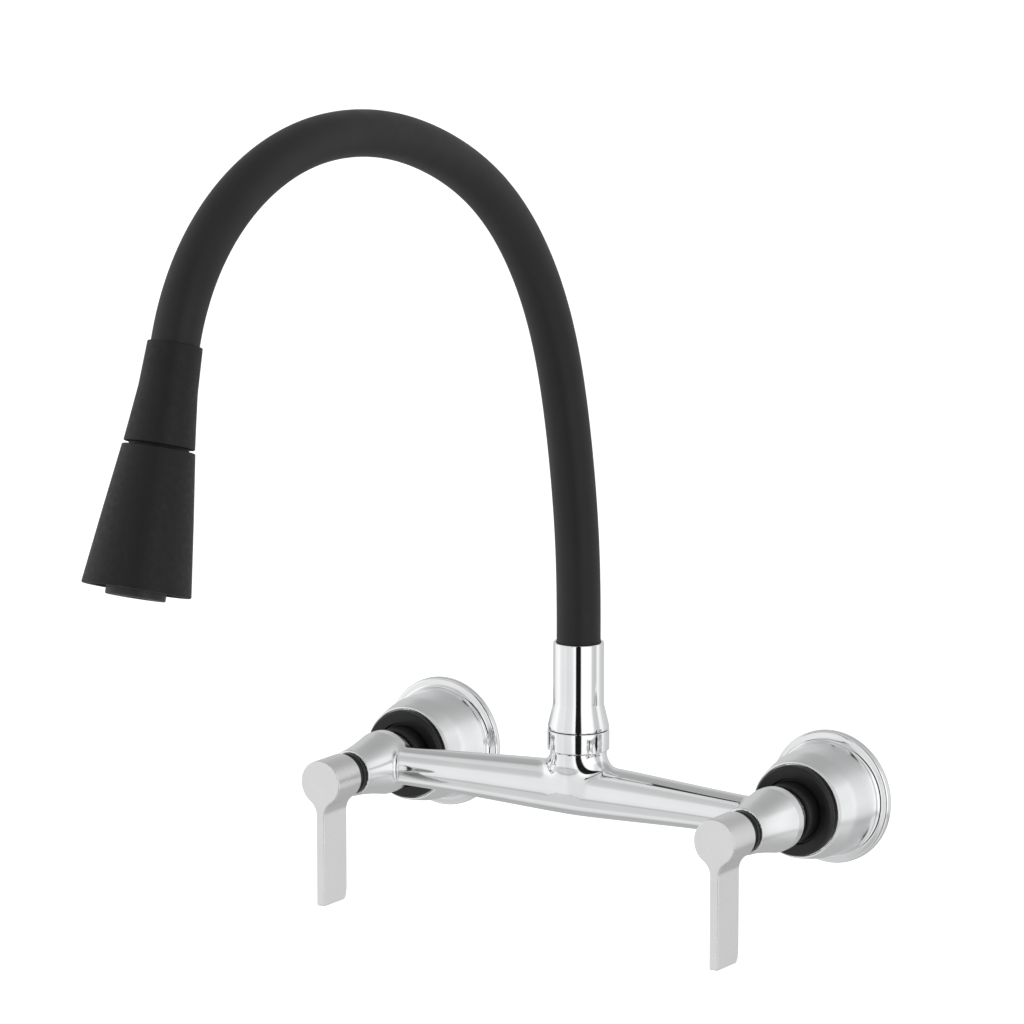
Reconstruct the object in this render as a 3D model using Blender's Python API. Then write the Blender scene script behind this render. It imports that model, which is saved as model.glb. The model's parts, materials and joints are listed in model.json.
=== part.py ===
"""Wall-mounted two-lever bridge faucet with a bendable gooseneck hose and a two-part spray head.

Frame: X along the wall (left inlet at -X), -Y out from the wall, +Z up.  The origin is on the
wall plane, midway between the two inlet axes.  Dimensions below are in millimetres.  "Reach" is
a distance out from the wall along -Y, "height" a distance up from the inlet axes, and "drop" a
distance along the spray head's own axis from the mouth where the hose enters it.
"""
import math

import bmesh
import bpy
from mathutils import Matrix, Vector

MM = 0.001

# ---------------------------------------------------------------- driving dimensions (mm)
GAP = 0.3                   # clearance between pieces that touch
INLET_SPACING = 203.2       # standard 8 inch centres
SPOUT_REACH = 48.6          # wall to the swivel axis

NIPPLE_DEPTH = 15.0         # inlet thread behind the wall plane
NIPPLE_RADIUS = 10.4
UNION_FLANGE_RADIUS = 12.2
UNION_FLANGE_REACH = 7.5
UNION_TUBE_RADIUS = 9.0
INLET_BORE_RADIUS = 6.5

RIM_RADIUS = 29.8           # escutcheon at the wall
RIM_FACE = 2.4              # width of its flat seat
RIM_THICKNESS = 2.8
RIM_WIDTH = 3.0             # rolled rim, from its edge in to the cove below the cup
CUP_REAR_RADIUS = 24.6
CUP_FRONT_RADIUS = 21.5
CUP_REACH = 32.4
CUP_WALL = 1.4

COLLAR_REACH = 31.0         # rear face of the black collar
COLLAR_FLANGE_RADIUS = 20.4
COLLAR_FLANGE_LENGTH = 5.0
COLLAR_HUB_RADIUS = 13.5
COLLAR_HUB_LENGTH = 8.0
COLLAR_GROOVE = 1.0         # width of the groove around the hub
COLLAR_SOCKET_DEPTH = 5.7   # how far the barrel's tail reaches into the collar
WASHER_THICKNESS = 1.6

TAIL_RADIUS = 12.0          # rear end of a valve barrel, inside the collar
BARREL_REAR_REACH = 49.0
BARREL_RADIUS = 14.35
BARREL_FRONT_RADIUS = 10.45
BARREL_REACH = 79.0
CARTRIDGE_RADIUS = 7.9
CARTRIDGE_SEAT_REACH = 47.5
DISC_RADIUS = 5.6
DISC_THICKNESS = 2.5
STEM_RADIUS = 4.0
BONNET_RADIUS = 9.5
BONNET_LENGTH = 5.1

LEVER_HUB_RADIUS = 10.2
LEVER_HUB_LENGTH = 18.0
LEVER_THICKNESS = 4.4
LEVER_WIDTH = 17.0          # along the valve axis
LEVER_LENGTH = 56.1         # valve axis to the lever's tip
LEVER_FILLET = 5.0
SCREW_RADIUS = 2.0

ARM_END_RADIUS = 8.6        # bridge beside the barrels
ARM_MIDDLE_RADIUS = 11.9    # bridge under the riser
ARM_SWEEP = 5.4             # how far the bridge bows forward towards the barrels
WATERWAY_RADIUS = 5.0

BOSS_RADIUS = 12.5
BOSS_HEIGHT = 17.9
NECK_RADIUS = 10.8
NECK_HEIGHT = 22.0
NUT_RADIUS = 13.75
NUT_HEIGHT = 9.0
FERRULE_NECK_RADIUS = 11.25
FERRULE_FLARE_HEIGHT = 40.0
FERRULE_HEIGHT = 66.6
SPIGOT_RADIUS = 7.0
SPIGOT_FLANGE_LENGTH = 2.2
SPIGOT_WALL = 2.8
BARB_RADIUS = 2.3
BARB_BORE = 1.4
O_RING_SECTION = 0.7
O_RING_HEIGHTS = (9.6, 15.0)

HOSE_RADIUS = 9.75
HOSE_BORE = 7.0             # inside of the silicone sleeve
CORE_WALL = 2.3             # wound steel gooseneck inside the sleeve
TUBE_WALL = 1.0             # water hose inside the gooseneck
HOSE_LENGTH = 493.0         # between the ferrule and the spray head
HOSE_FOOT = 22.0            # held inside the ferrule
HOSE_TOE = 12.7             # held inside the spray head
# Direction of the hose at equally spaced stations, degrees from straight up towards the user.
HOSE_HEADINGS = (0.0, 7.5, 16.5, 37.0, 60.5, 77.5, 97.0, 124.5, 163.5)
STEPS_PER_LINK = 40
CURVE_STEPS = 3             # straight facets along each hose link

SHELL_MOUTH_RADIUS = 11.0   # upper half of the spray head
SHELL_WAIST_RADIUS = 11.8
SHELL_WAIST_DROP = 18.0
SHELL_SHOULDER_RADIUS = 13.2
SHELL_SHOULDER_DROP = 31.0
SHELL_END_RADIUS = 14.25
SHELL_LENGTH = 40.3
SHELL_WEB = 3.3
CONNECTOR_RADIUS = 7.0
CONNECTOR_END_DROP = 38.0
SEAM = 1.2                  # dark gap between the head's two halves
CONE_TOP_RADIUS = 14.55
CONE_END_RADIUS = 21.86
CONE_LENGTH = 56.4
CONE_WALL = 2.4
CONE_RECESS = 2.5           # the spray plate sits this deep behind the cone's rim
CONE_NECK_RADIUS = 12.0
CONE_NECK_LENGTH = 7.9
NOZZLE_RADIUS = 12.0
NOZZLE_PROUD = 2.8
PLATE_THICKNESS = 4.0
FEED_RADIUS = 4.3           # tube that carries the water from the connector to the spray plate
FEED_BORE = 2.8
AERATOR_RADIUS = 6.0

# ---------------------------------------------------------------- derived dimensions (mm)
LINKS = len(HOSE_HEADINGS) - 1
LINK_LENGTH = HOSE_LENGTH / LINKS
SOCKET_RADIUS = HOSE_RADIUS + GAP
CORE_RADIUS = HOSE_BORE - GAP
CORE_BORE = CORE_RADIUS - CORE_WALL
TUBE_RADIUS = CORE_BORE - 0.5
TUBE_BORE = TUBE_RADIUS - TUBE_WALL
COLLAR_SEAT = COLLAR_REACH + COLLAR_FLANGE_LENGTH + COLLAR_HUB_LENGTH - COLLAR_SOCKET_DEPTH
TAIL_REACH = COLLAR_SEAT + GAP
UNION_END = TAIL_REACH - WASHER_THICKNESS - 2 * GAP
BONNET_REACH = BARREL_REACH + GAP
LEVER_REACH = BONNET_REACH + BONNET_LENGTH + GAP
STEM_BORE = STEM_RADIUS + GAP
STEM_END = LEVER_REACH + 0.68 * LEVER_HUB_LENGTH
NUT_BASE = BOSS_HEIGHT + GAP
NUT_TOP = NUT_BASE + NUT_HEIGHT
SPIGOT_FLANGE_BASE = NECK_HEIGHT + GAP
NUT_LIP_BASE = SPIGOT_FLANGE_BASE + SPIGOT_FLANGE_LENGTH + GAP
FERRULE_BASE = NUT_TOP + GAP
FERRULE_SEAT = FERRULE_HEIGHT - HOSE_FOOT - GAP
SEAT_DROP = HOSE_TOE + GAP
CONE_DROP = SHELL_LENGTH + SEAM
CONE_END_DROP = CONE_DROP + CONE_LENGTH
PLATE_DROP = CONE_END_DROP - CONE_RECESS - PLATE_THICKNESS


# ---------------------------------------------------------------- materials
def make_material(name, colour, roughness, metallic):
    """A Principled material of one colour."""
    material = bpy.data.materials.new(name)
    material.use_nodes = True
    shader = material.node_tree.nodes["Principled BSDF"]
    shader.inputs["Base Color"].default_value = (*colour, 1.0)
    shader.inputs["Roughness"].default_value = roughness
    shader.inputs["Metallic"].default_value = metallic
    material.diffuse_color = (*colour, 1.0)
    return material


def clear_scene():
    """Remove whatever the file opened with."""
    for old in list(bpy.data.objects):
        bpy.data.objects.remove(old, do_unlink=True)


clear_scene()
POLISHED_CHROME = make_material("polished_chrome", (0.86, 0.87, 0.88), 0.06, 1.0)
SATIN_CHROME = make_material("satin_chrome", (0.80, 0.80, 0.80), 0.22, 1.0)
BLACK_COLLAR = make_material("black_collar", (0.018, 0.018, 0.018), 0.35, 0.0)
BLACK_SILICONE = make_material("black_silicone", (0.022, 0.022, 0.023), 0.55, 0.0)
BLACK_SHELL = make_material("black_shell", (0.016, 0.016, 0.017), 0.60, 0.0)
BLACK_NOZZLE = make_material("black_nozzle", (0.030, 0.030, 0.030), 0.50, 0.0)
BRASS = make_material("brass", (0.72, 0.55, 0.28), 0.30, 1.0)
STEEL = make_material("steel", (0.55, 0.55, 0.56), 0.30, 1.0)
SEAL_RUBBER = make_material("seal_rubber", (0.03, 0.03, 0.03), 0.80, 0.0)
WATER_TUBE = make_material("water_tube", (0.75, 0.76, 0.74), 0.45, 0.0)
CERAMIC = make_material("ceramic", (0.86, 0.85, 0.80), 0.20, 0.0)
AERATOR_PLASTIC = make_material("aerator_plastic", (0.62, 0.64, 0.66), 0.40, 0.0)


# ---------------------------------------------------------------- shape helpers
def add_ring(shape, radius, sides, place):
    """Ring of vertices about the local Z of place, or one vertex where the radius is zero."""
    if radius < 1e-6:
        return [shape.verts.new(place @ Vector((0.0, 0.0, 0.0)))]
    ring = []
    for index in range(sides):
        angle = 2.0 * math.pi * index / sides
        spoke = Vector((radius * MM * math.cos(angle), radius * MM * math.sin(angle), 0.0))
        ring.append(shape.verts.new(place @ spoke))
    return ring


def bridge_rings(shape, first, second):
    """Faces between two rings, either of which may be a single pole."""
    sides = max(len(first), len(second))
    for index in range(sides):
        following = (index + 1) % sides
        corners = [first[index % len(first)], first[following % len(first)],
                   second[following % len(second)], second[index % len(second)]]
        shape.faces.new(list(dict.fromkeys(corners)))


def finish_mesh(name, shape, sharp_angle=35.0):
    """Turn a bmesh into a smooth-shaded mesh whose faces point out."""
    bmesh.ops.recalc_face_normals(shape, faces=shape.faces)
    mesh = bpy.data.meshes.new(name)
    shape.to_mesh(mesh)
    shape.free()
    mesh.shade_smooth()
    mesh.set_sharp_from_angle(angle=math.radians(sharp_angle))
    return mesh


def loft(name, rings, sides):
    """Closed skin through (radius, matrix) rings; it closes on itself unless it ends in poles."""
    shape = bmesh.new()
    loops = [add_ring(shape, radius, sides, place) for radius, place in rings]
    for first, second in zip(loops, loops[1:]):
        bridge_rings(shape, first, second)
    if len(loops[0]) > 1:
        bridge_rings(shape, loops[-1], loops[0])
    return finish_mesh(name, shape)


def turned(name, outline, sides):
    """Turn an outline of (radius, height) points about local Z."""
    rings = [(radius, Matrix.Translation((0.0, 0.0, height * MM))) for radius, height in outline]
    return loft(name, rings, sides)


def torus(name, centre_radius, section_radius, height, sides, section_sides):
    """Round ring about local Z, such as an O-ring."""
    outline = []
    for index in range(section_sides):
        angle = 2.0 * math.pi * index / section_sides
        outline.append((centre_radius + section_radius * math.cos(angle),
                        height + section_radius * math.sin(angle)))
    return turned(name, outline, sides)


def extruded(name, outline, low, high, tip_bevel=0.0):
    """Extrude an (x, y) outline along local Z from low to high; tip_bevel rounds its lowest rear edge."""
    shape = bmesh.new()
    bottom = [shape.verts.new((x * MM, y * MM, low * MM)) for x, y in outline]
    base = shape.faces.new(bottom)
    lifted = bmesh.ops.extrude_face_region(shape, geom=[base])
    for corner in [item for item in lifted["geom"] if isinstance(item, bmesh.types.BMVert)]:
        corner.co.z = high * MM
    if tip_bevel > 0.0:
        lowest = min(y for _, y in outline) * MM
        edges = [edge for edge in shape.edges
                 if all(abs(v.co.y - lowest) < 1e-6 and abs(v.co.z - low * MM) < 1e-6
                        for v in edge.verts)]
        bmesh.ops.bevel(shape, geom=edges, offset=tip_bevel * MM, segments=3,
                        profile=0.5, affect="EDGES")
    return finish_mesh(name, shape)


def block(name, low, high):
    """Box between two corners."""
    outline = [(low[0], low[1]), (high[0], low[1]), (high[0], high[1]), (low[0], high[1])]
    return extruded(name, outline, low[2], high[2])


def add_object(name, mesh, material, parent=None):
    """One named sub-part."""
    mesh.materials.clear()
    if material is not None:
        mesh.materials.append(material)
    thing = bpy.data.objects.new(name, mesh)
    bpy.context.scene.collection.objects.link(thing)
    thing.parent = parent
    return thing


def add_guide(name, mesh, parent=None):
    """A hidden operand of a Boolean, which is not a sub-part."""
    guide = add_object(name, mesh, None, parent)
    guide.hide_render = True
    guide.display_type = "WIRE"
    return guide


def add_axis(name, location, rotation_x):
    """Empty whose local Z is a working axis."""
    axis = bpy.data.objects.new(name, None)
    bpy.context.scene.collection.objects.link(axis)
    axis.location = [value * MM for value in location]
    axis.rotation_euler = (rotation_x, 0.0, 0.0)
    return axis


def combine(target, operand, operation):
    """Add an exact Boolean to target."""
    modifier = target.modifiers.new(operand.name, "BOOLEAN")
    modifier.object = operand
    modifier.operation = operation
    modifier.solver = "EXACT"


def blend_between(start, end, fraction):
    """Straight mix of two values."""
    return start + (end - start) * fraction


def ease(fraction):
    """Smooth step from 0 to 1."""
    return fraction * fraction * (3.0 - 2.0 * fraction)


# ---------------------------------------------------------------- hose centreline
def hose_heading(position):
    """Heading in radians at a position counted in links, smooth through the stations."""
    last = LINKS
    index = min(int(position), last - 1)
    fraction = position - index

    def slope(station):
        if station == 0:
            return 0.0
        if station == last:
            return HOSE_HEADINGS[last] - HOSE_HEADINGS[last - 1]
        return (HOSE_HEADINGS[station + 1] - HOSE_HEADINGS[station - 1]) / 2.0

    square, cube = fraction ** 2, fraction ** 3
    degrees = ((2 * cube - 3 * square + 1) * HOSE_HEADINGS[index]
               + (cube - 2 * square + fraction) * slope(index)
               + (3 * square - 2 * cube) * HOSE_HEADINGS[index + 1]
               + (cube - square) * slope(index + 1))
    return math.radians(degrees)


def walk_hose():
    """Points (reach, height) at every step along the exposed hose."""
    step = LINK_LENGTH / STEPS_PER_LINK
    points = [(SPOUT_REACH, FERRULE_HEIGHT)]
    for index in range(LINKS * STEPS_PER_LINK):
        heading = hose_heading((index + 0.5) / STEPS_PER_LINK)
        reach, height = points[-1]
        points.append((reach + step * math.sin(heading), height + step * math.cos(heading)))
    return points


HOSE_POINTS = walk_hose()


def hose_place(position):
    """Matrix on the centreline at a position counted in links; straight beyond both ends."""
    inside = min(max(position, 0.0), float(LINKS))
    step = inside * STEPS_PER_LINK
    index = min(int(step), len(HOSE_POINTS) - 2)
    low, high = HOSE_POINTS[index], HOSE_POINTS[index + 1]
    reach = blend_between(low[0], high[0], step - index)
    height = blend_between(low[1], high[1], step - index)
    turn = Matrix.Rotation(hose_heading(inside), 4, "X")
    place = Matrix.Translation((0.0, -reach * MM, height * MM)) @ turn
    return place @ Matrix.Translation((0.0, 0.0, (position - inside) * LINK_LENGTH * MM))


# ---------------------------------------------------------------- inlets and valves
def make_inlet(side, axis):
    """Wall union, washer, escutcheon and collar of one inlet."""
    union = [(INLET_BORE_RADIUS, -NIPPLE_DEPTH), (NIPPLE_RADIUS - 0.6, -NIPPLE_DEPTH),
             (NIPPLE_RADIUS, -NIPPLE_DEPTH + 0.8), (NIPPLE_RADIUS, 1.5),
             (UNION_FLANGE_RADIUS, 1.5), (UNION_FLANGE_RADIUS, UNION_FLANGE_REACH),
             (UNION_TUBE_RADIUS, UNION_FLANGE_REACH), (UNION_TUBE_RADIUS, UNION_END),
             (INLET_BORE_RADIUS, UNION_END)]
    add_object("inlet_union_" + side, turned("union", union, 16), BRASS, axis)

    washer_low = UNION_END + GAP
    washer = [(INLET_BORE_RADIUS, washer_low), (UNION_TUBE_RADIUS, washer_low),
              (UNION_TUBE_RADIUS, washer_low + WASHER_THICKNESS),
              (INLET_BORE_RADIUS, washer_low + WASHER_THICKNESS)]
    add_object("inlet_washer_" + side, turned("washer", washer, 14), SEAL_RUBBER, axis)

    add_object("escutcheon_" + side, turned("escutcheon", escutcheon_outline(), 24),
               POLISHED_CHROME, axis)

    face = COLLAR_REACH + COLLAR_FLANGE_LENGTH
    collar_end = face + COLLAR_HUB_LENGTH
    collar_bore = UNION_TUBE_RADIUS + GAP
    tail_bore = TAIL_RADIUS + GAP
    groove = COLLAR_HUB_RADIUS + COLLAR_GROOVE
    collar = [(collar_bore, COLLAR_REACH), (COLLAR_FLANGE_RADIUS - 0.4, COLLAR_REACH),
              (COLLAR_FLANGE_RADIUS, COLLAR_REACH + 0.4),
              (COLLAR_FLANGE_RADIUS, face - 1.4), (COLLAR_FLANGE_RADIUS - 1.0, face),
              (groove, face), (groove, face - 1.5), (COLLAR_HUB_RADIUS, face - 1.5),
              (COLLAR_HUB_RADIUS, collar_end), (tail_bore, collar_end),
              (tail_bore, COLLAR_SEAT), (collar_bore, COLLAR_SEAT)]
    add_object("collar_" + side, turned("collar", collar, 22), BLACK_COLLAR, axis)


def escutcheon_outline():
    """Rolled rim at the wall, a cove, then a deep cup that narrows towards the front."""
    cove = RIM_RADIUS - RIM_WIDTH
    flare_end = RIM_THICKNESS + 7.0
    outer = [(RIM_RADIUS - 0.8, 0.0), (RIM_RADIUS, 0.8), (RIM_RADIUS, RIM_THICKNESS - 1.2),
             (RIM_RADIUS - 0.6, RIM_THICKNESS - 0.1), (RIM_RADIUS - 1.8, RIM_THICKNESS + 0.6),
             (cove + 0.4, RIM_THICKNESS + 1.0), (cove - 0.9, RIM_THICKNESS + 1.9),
             (cove - 1.7, RIM_THICKNESS + 3.4), (CUP_REAR_RADIUS + 0.3, RIM_THICKNESS + 5.2),
             (CUP_REAR_RADIUS, flare_end)]
    steps = 4
    for index in range(1, steps + 1):
        fraction = index / steps
        outer.append((blend_between(CUP_REAR_RADIUS, CUP_FRONT_RADIUS, fraction ** 1.6),
                      blend_between(flare_end, CUP_REACH, fraction)))
    lip = COLLAR_FLANGE_RADIUS + GAP
    lip_base = min(COLLAR_REACH, CUP_REACH - 1.0)
    rear_bore = CUP_REAR_RADIUS - CUP_WALL
    inner = [(lip, CUP_REACH), (lip, lip_base), (lip + 0.3, lip_base - 3.0),
             (rear_bore, blend_between(flare_end, CUP_REACH, 0.3)), (rear_bore, flare_end),
             (rear_bore + 1.0, RIM_THICKNESS + 1.2), (RIM_RADIUS - 0.8 - RIM_FACE, RIM_THICKNESS - 1.4),
             (RIM_RADIUS - 0.8 - RIM_FACE, 0.0)]
    return outer + inner


def make_valve(side, axis, lever_axis):
    """Ceramic cartridge, stem, bonnet ring and lever of one valve."""
    base = CARTRIDGE_SEAT_REACH + GAP
    waist = CARTRIDGE_RADIUS - 1.0
    disc_floor = base + 5.5
    fixed_low = disc_floor + GAP
    moving_low = fixed_low + DISC_THICKNESS + GAP
    stem_low = moving_low + DISC_THICKNESS + GAP
    chamber_end = stem_low + 5.0
    chamber = DISC_RADIUS + GAP
    front = BARREL_REACH - GAP
    outline = [(DISC_RADIUS - 1.2, base), (CARTRIDGE_RADIUS, base), (CARTRIDGE_RADIUS, base + 3.0),
               (waist, base + 3.5), (waist, stem_low + 1.6), (CARTRIDGE_RADIUS, stem_low + 2.1),
               (CARTRIDGE_RADIUS, front), (STEM_BORE, front), (STEM_BORE, chamber_end),
               (chamber, chamber_end), (chamber, disc_floor), (DISC_RADIUS - 1.2, disc_floor)]
    body = add_object("cartridge_body_" + side, turned("cartridge", outline, 16), BRASS, axis)
    window = block("window", (-2 * waist, -2.4, moving_low), (2 * waist, 2.4, stem_low + 0.6))
    combine(body, add_guide("cutter_window_" + side, window, axis), "DIFFERENCE")

    disc = [(0.0, fixed_low), (DISC_RADIUS, fixed_low),
            (DISC_RADIUS, fixed_low + DISC_THICKNESS), (0.0, fixed_low + DISC_THICKNESS)]
    fixed = add_object("fixed_disc_" + side, turned("disc", disc, 14), CERAMIC, axis)
    port = block("port", (-0.65 * DISC_RADIUS, -1.3, fixed_low - 1.0),
                 (-0.25 * DISC_RADIUS, 1.3, stem_low))
    combine(fixed, add_guide("cutter_port_" + side, port, axis), "DIFFERENCE")

    upper = [(radius, height + moving_low - fixed_low) for radius, height in disc]
    moving = add_object("moving_disc_" + side, turned("disc", upper, 14), CERAMIC, lever_axis)
    slot = block("slot", (-2 * DISC_RADIUS, -1.5, moving_low - 1.0),
                 (-0.25 * DISC_RADIUS, 1.5, stem_low))
    combine(moving, add_guide("cutter_slot_" + side, slot, lever_axis), "DIFFERENCE")

    stem = [(0.0, stem_low), (DISC_RADIUS, stem_low), (DISC_RADIUS, stem_low + 2.6),
            (STEM_RADIUS, stem_low + 2.6), (STEM_RADIUS, STEM_END - 0.6),
            (STEM_RADIUS - 0.6, STEM_END), (0.0, STEM_END)]
    add_object("stem_" + side, turned("stem", stem, 12), BRASS, lever_axis)

    bonnet_end = BONNET_REACH + BONNET_LENGTH
    bonnet = [(STEM_BORE, BONNET_REACH), (BONNET_RADIUS, BONNET_REACH),
              (BONNET_RADIUS, bonnet_end), (STEM_BORE, bonnet_end)]
    add_object("bonnet_ring_" + side, turned("bonnet", bonnet, 22), BLACK_COLLAR, axis)

    make_lever(side, lever_axis)


def lever_outline():
    """Round hub flowing through two concave fillets into a straight blade, seen along the valve axis."""
    half = LEVER_THICKNESS / 2.0
    radius, fillet = LEVER_HUB_RADIUS, LEVER_FILLET
    centre_x = half + fillet
    centre_y = -math.sqrt((radius + fillet) ** 2 - centre_x ** 2)
    touch = math.atan2(centre_y, centre_x)
    points = []
    hub_steps = 22
    for index in range(hub_steps + 1):
        angle = blend_between(touch, math.pi - touch, index / hub_steps)
        points.append((radius * math.cos(angle), radius * math.sin(angle)))
    fillet_steps = 4
    for index in range(1, fillet_steps + 1):
        angle = blend_between(-touch, 0.0, index / fillet_steps)
        points.append((-centre_x + fillet * math.cos(angle), centre_y + fillet * math.sin(angle)))
    points.append((-half, -LEVER_LENGTH))
    points += [(-x, y) for x, y in reversed(points[-fillet_steps - 1:])]
    return points


def make_lever(side, lever_axis):
    """Flat lever with its hub bore and the set screw that grips the stem."""
    end = LEVER_REACH + LEVER_HUB_LENGTH
    outline = lever_outline()
    lever = add_object("handle_" + side,
                       extruded("lever", outline, LEVER_REACH, end, tip_bevel=2.5),
                       SATIN_CHROME, lever_axis)
    bore = [(0.0, LEVER_REACH - 2.0), (STEM_BORE, LEVER_REACH - 2.0),
            (STEM_BORE, STEM_END + GAP), (0.0, STEM_END + GAP)]
    combine(lever, add_guide("cutter_stem_" + side, turned("bore", bore, 14), lever_axis),
            "DIFFERENCE")

    screw_reach = LEVER_REACH + 0.35 * LEVER_HUB_LENGTH
    across = Matrix.Translation((0.0, 0.0, screw_reach * MM)) @ Matrix.Rotation(-math.pi / 2, 4, "Y")
    hole = [(0.0, 0.0), (SCREW_RADIUS + GAP, 0.0), (SCREW_RADIUS + GAP, 2 * LEVER_HUB_RADIUS),
            (0.0, 2 * LEVER_HUB_RADIUS)]
    hole_mesh = turned("screw_hole", hole, 12)
    hole_mesh.transform(across)
    combine(lever, add_guide("cutter_screw_" + side, hole_mesh, lever_axis), "DIFFERENCE")

    tip, head = STEM_BORE, LEVER_HUB_RADIUS - 0.8
    screw = [(0.0, tip), (SCREW_RADIUS - 0.4, tip), (SCREW_RADIUS, tip + 0.4), (SCREW_RADIUS, head),
             (SCREW_RADIUS * 0.6, head), (SCREW_RADIUS * 0.6, head - 2.0), (0.0, head - 2.0)]
    screw_mesh = turned("screw", screw, 12)
    screw_mesh.transform(across)
    add_object("handle_screw_" + side, screw_mesh, STEEL, lever_axis)


# ---------------------------------------------------------------- mixer body
def barrel_outline():
    """Trumpet-shaped valve barrel with its narrower tail, solid."""
    front_steps = 5
    outline = [(0.0, TAIL_REACH), (TAIL_RADIUS, TAIL_REACH), (TAIL_RADIUS, BARREL_REAR_REACH)]
    for index in range(1, 4):
        angle = index / 3 * math.pi / 2
        outline.append((TAIL_RADIUS + (BARREL_RADIUS - TAIL_RADIUS) * math.sin(angle),
                        BARREL_REAR_REACH + 0.8 * (1.0 - math.cos(angle))))
    shoulder = BARREL_REAR_REACH + 5.5
    for index in range(front_steps + 1):
        fraction = index / front_steps
        outline.append((blend_between(BARREL_FRONT_RADIUS, BARREL_RADIUS, (1.0 - fraction) ** 1.5),
                        blend_between(shoulder, BARREL_REACH, fraction)))
    outline.append((0.0, BARREL_REACH))
    return outline


def arm_rings():
    """Rings of the bridge, thick under the riser and bowed forward towards each barrel."""
    half = INLET_SPACING / 2.0
    stations = 12
    rings = []
    for index in range(-stations // 2, stations // 2 + 1):
        share = abs(index) / (stations // 2)
        radius = blend_between(ARM_MIDDLE_RADIUS, ARM_END_RADIUS, ease(share) ** 0.8)
        reach = SPOUT_REACH + ARM_SWEEP * share ** 1.7
        place = Matrix.Translation((index / (stations // 2) * half * MM, -reach * MM, 0.0))
        rings.append((radius, place @ Matrix.Rotation(math.pi / 2, 4, "Y")))
    return [(0.0, rings[0][1])] + rings + [(0.0, rings[-1][1])]


def make_mixer(axes, riser_axis):
    """One casting: two barrels, the bridge and the riser boss, with all their waterways."""
    body = add_object("mixer_body", loft("bridge", arm_rings(), 18), POLISHED_CHROME)
    boss = [(0.0, 0.0), (ARM_MIDDLE_RADIUS - 1.5, 0.0), (BOSS_RADIUS, ARM_MIDDLE_RADIUS),
            (BOSS_RADIUS, BOSS_HEIGHT), (NECK_RADIUS, BOSS_HEIGHT), (NECK_RADIUS, NECK_HEIGHT),
            (0.0, NECK_HEIGHT)]
    combine(body, add_guide("operand_boss", turned("boss", boss, 20), riser_axis), "UNION")
    for side, axis in axes.items():
        barrel = add_guide("operand_barrel_" + side, turned("barrel", barrel_outline(), 22), axis)
        combine(body, barrel, "UNION")

    for side, axis in axes.items():
        cavity_radius = CARTRIDGE_RADIUS + GAP
        cavity = [(0.0, TAIL_REACH - 2.0), (WATERWAY_RADIUS, TAIL_REACH - 2.0),
                  (WATERWAY_RADIUS, CARTRIDGE_SEAT_REACH), (cavity_radius, CARTRIDGE_SEAT_REACH),
                  (cavity_radius, BARREL_REACH + 2.0), (0.0, BARREL_REACH + 2.0)]
        cutter = add_guide("cutter_barrel_" + side, turned("cavity", cavity, 18), axis)
        combine(body, cutter, "DIFFERENCE")

    half = INLET_SPACING / 2.0
    cross = [(0.0, -half), (WATERWAY_RADIUS, -half), (WATERWAY_RADIUS, half), (0.0, half)]
    cross_mesh = turned("cross_way", cross, 12)
    reach = SPOUT_REACH + ARM_SWEEP * 0.75
    cross_mesh.transform(Matrix.Translation((0.0, -reach * MM, 0.0)) @ Matrix.Rotation(math.pi / 2, 4, "Y"))
    combine(body, add_guide("cutter_cross_way", cross_mesh), "DIFFERENCE")

    bore = SPIGOT_RADIUS + 2 * GAP
    riser = [(0.0, 0.0), (WATERWAY_RADIUS, 0.0), (WATERWAY_RADIUS, WATERWAY_RADIUS - 0.6),
             (bore, WATERWAY_RADIUS - 0.6), (bore, NECK_HEIGHT + 2.0), (0.0, NECK_HEIGHT + 2.0)]
    combine(body, add_guide("cutter_riser", turned("riser", riser, 16), riser_axis), "DIFFERENCE")


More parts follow.
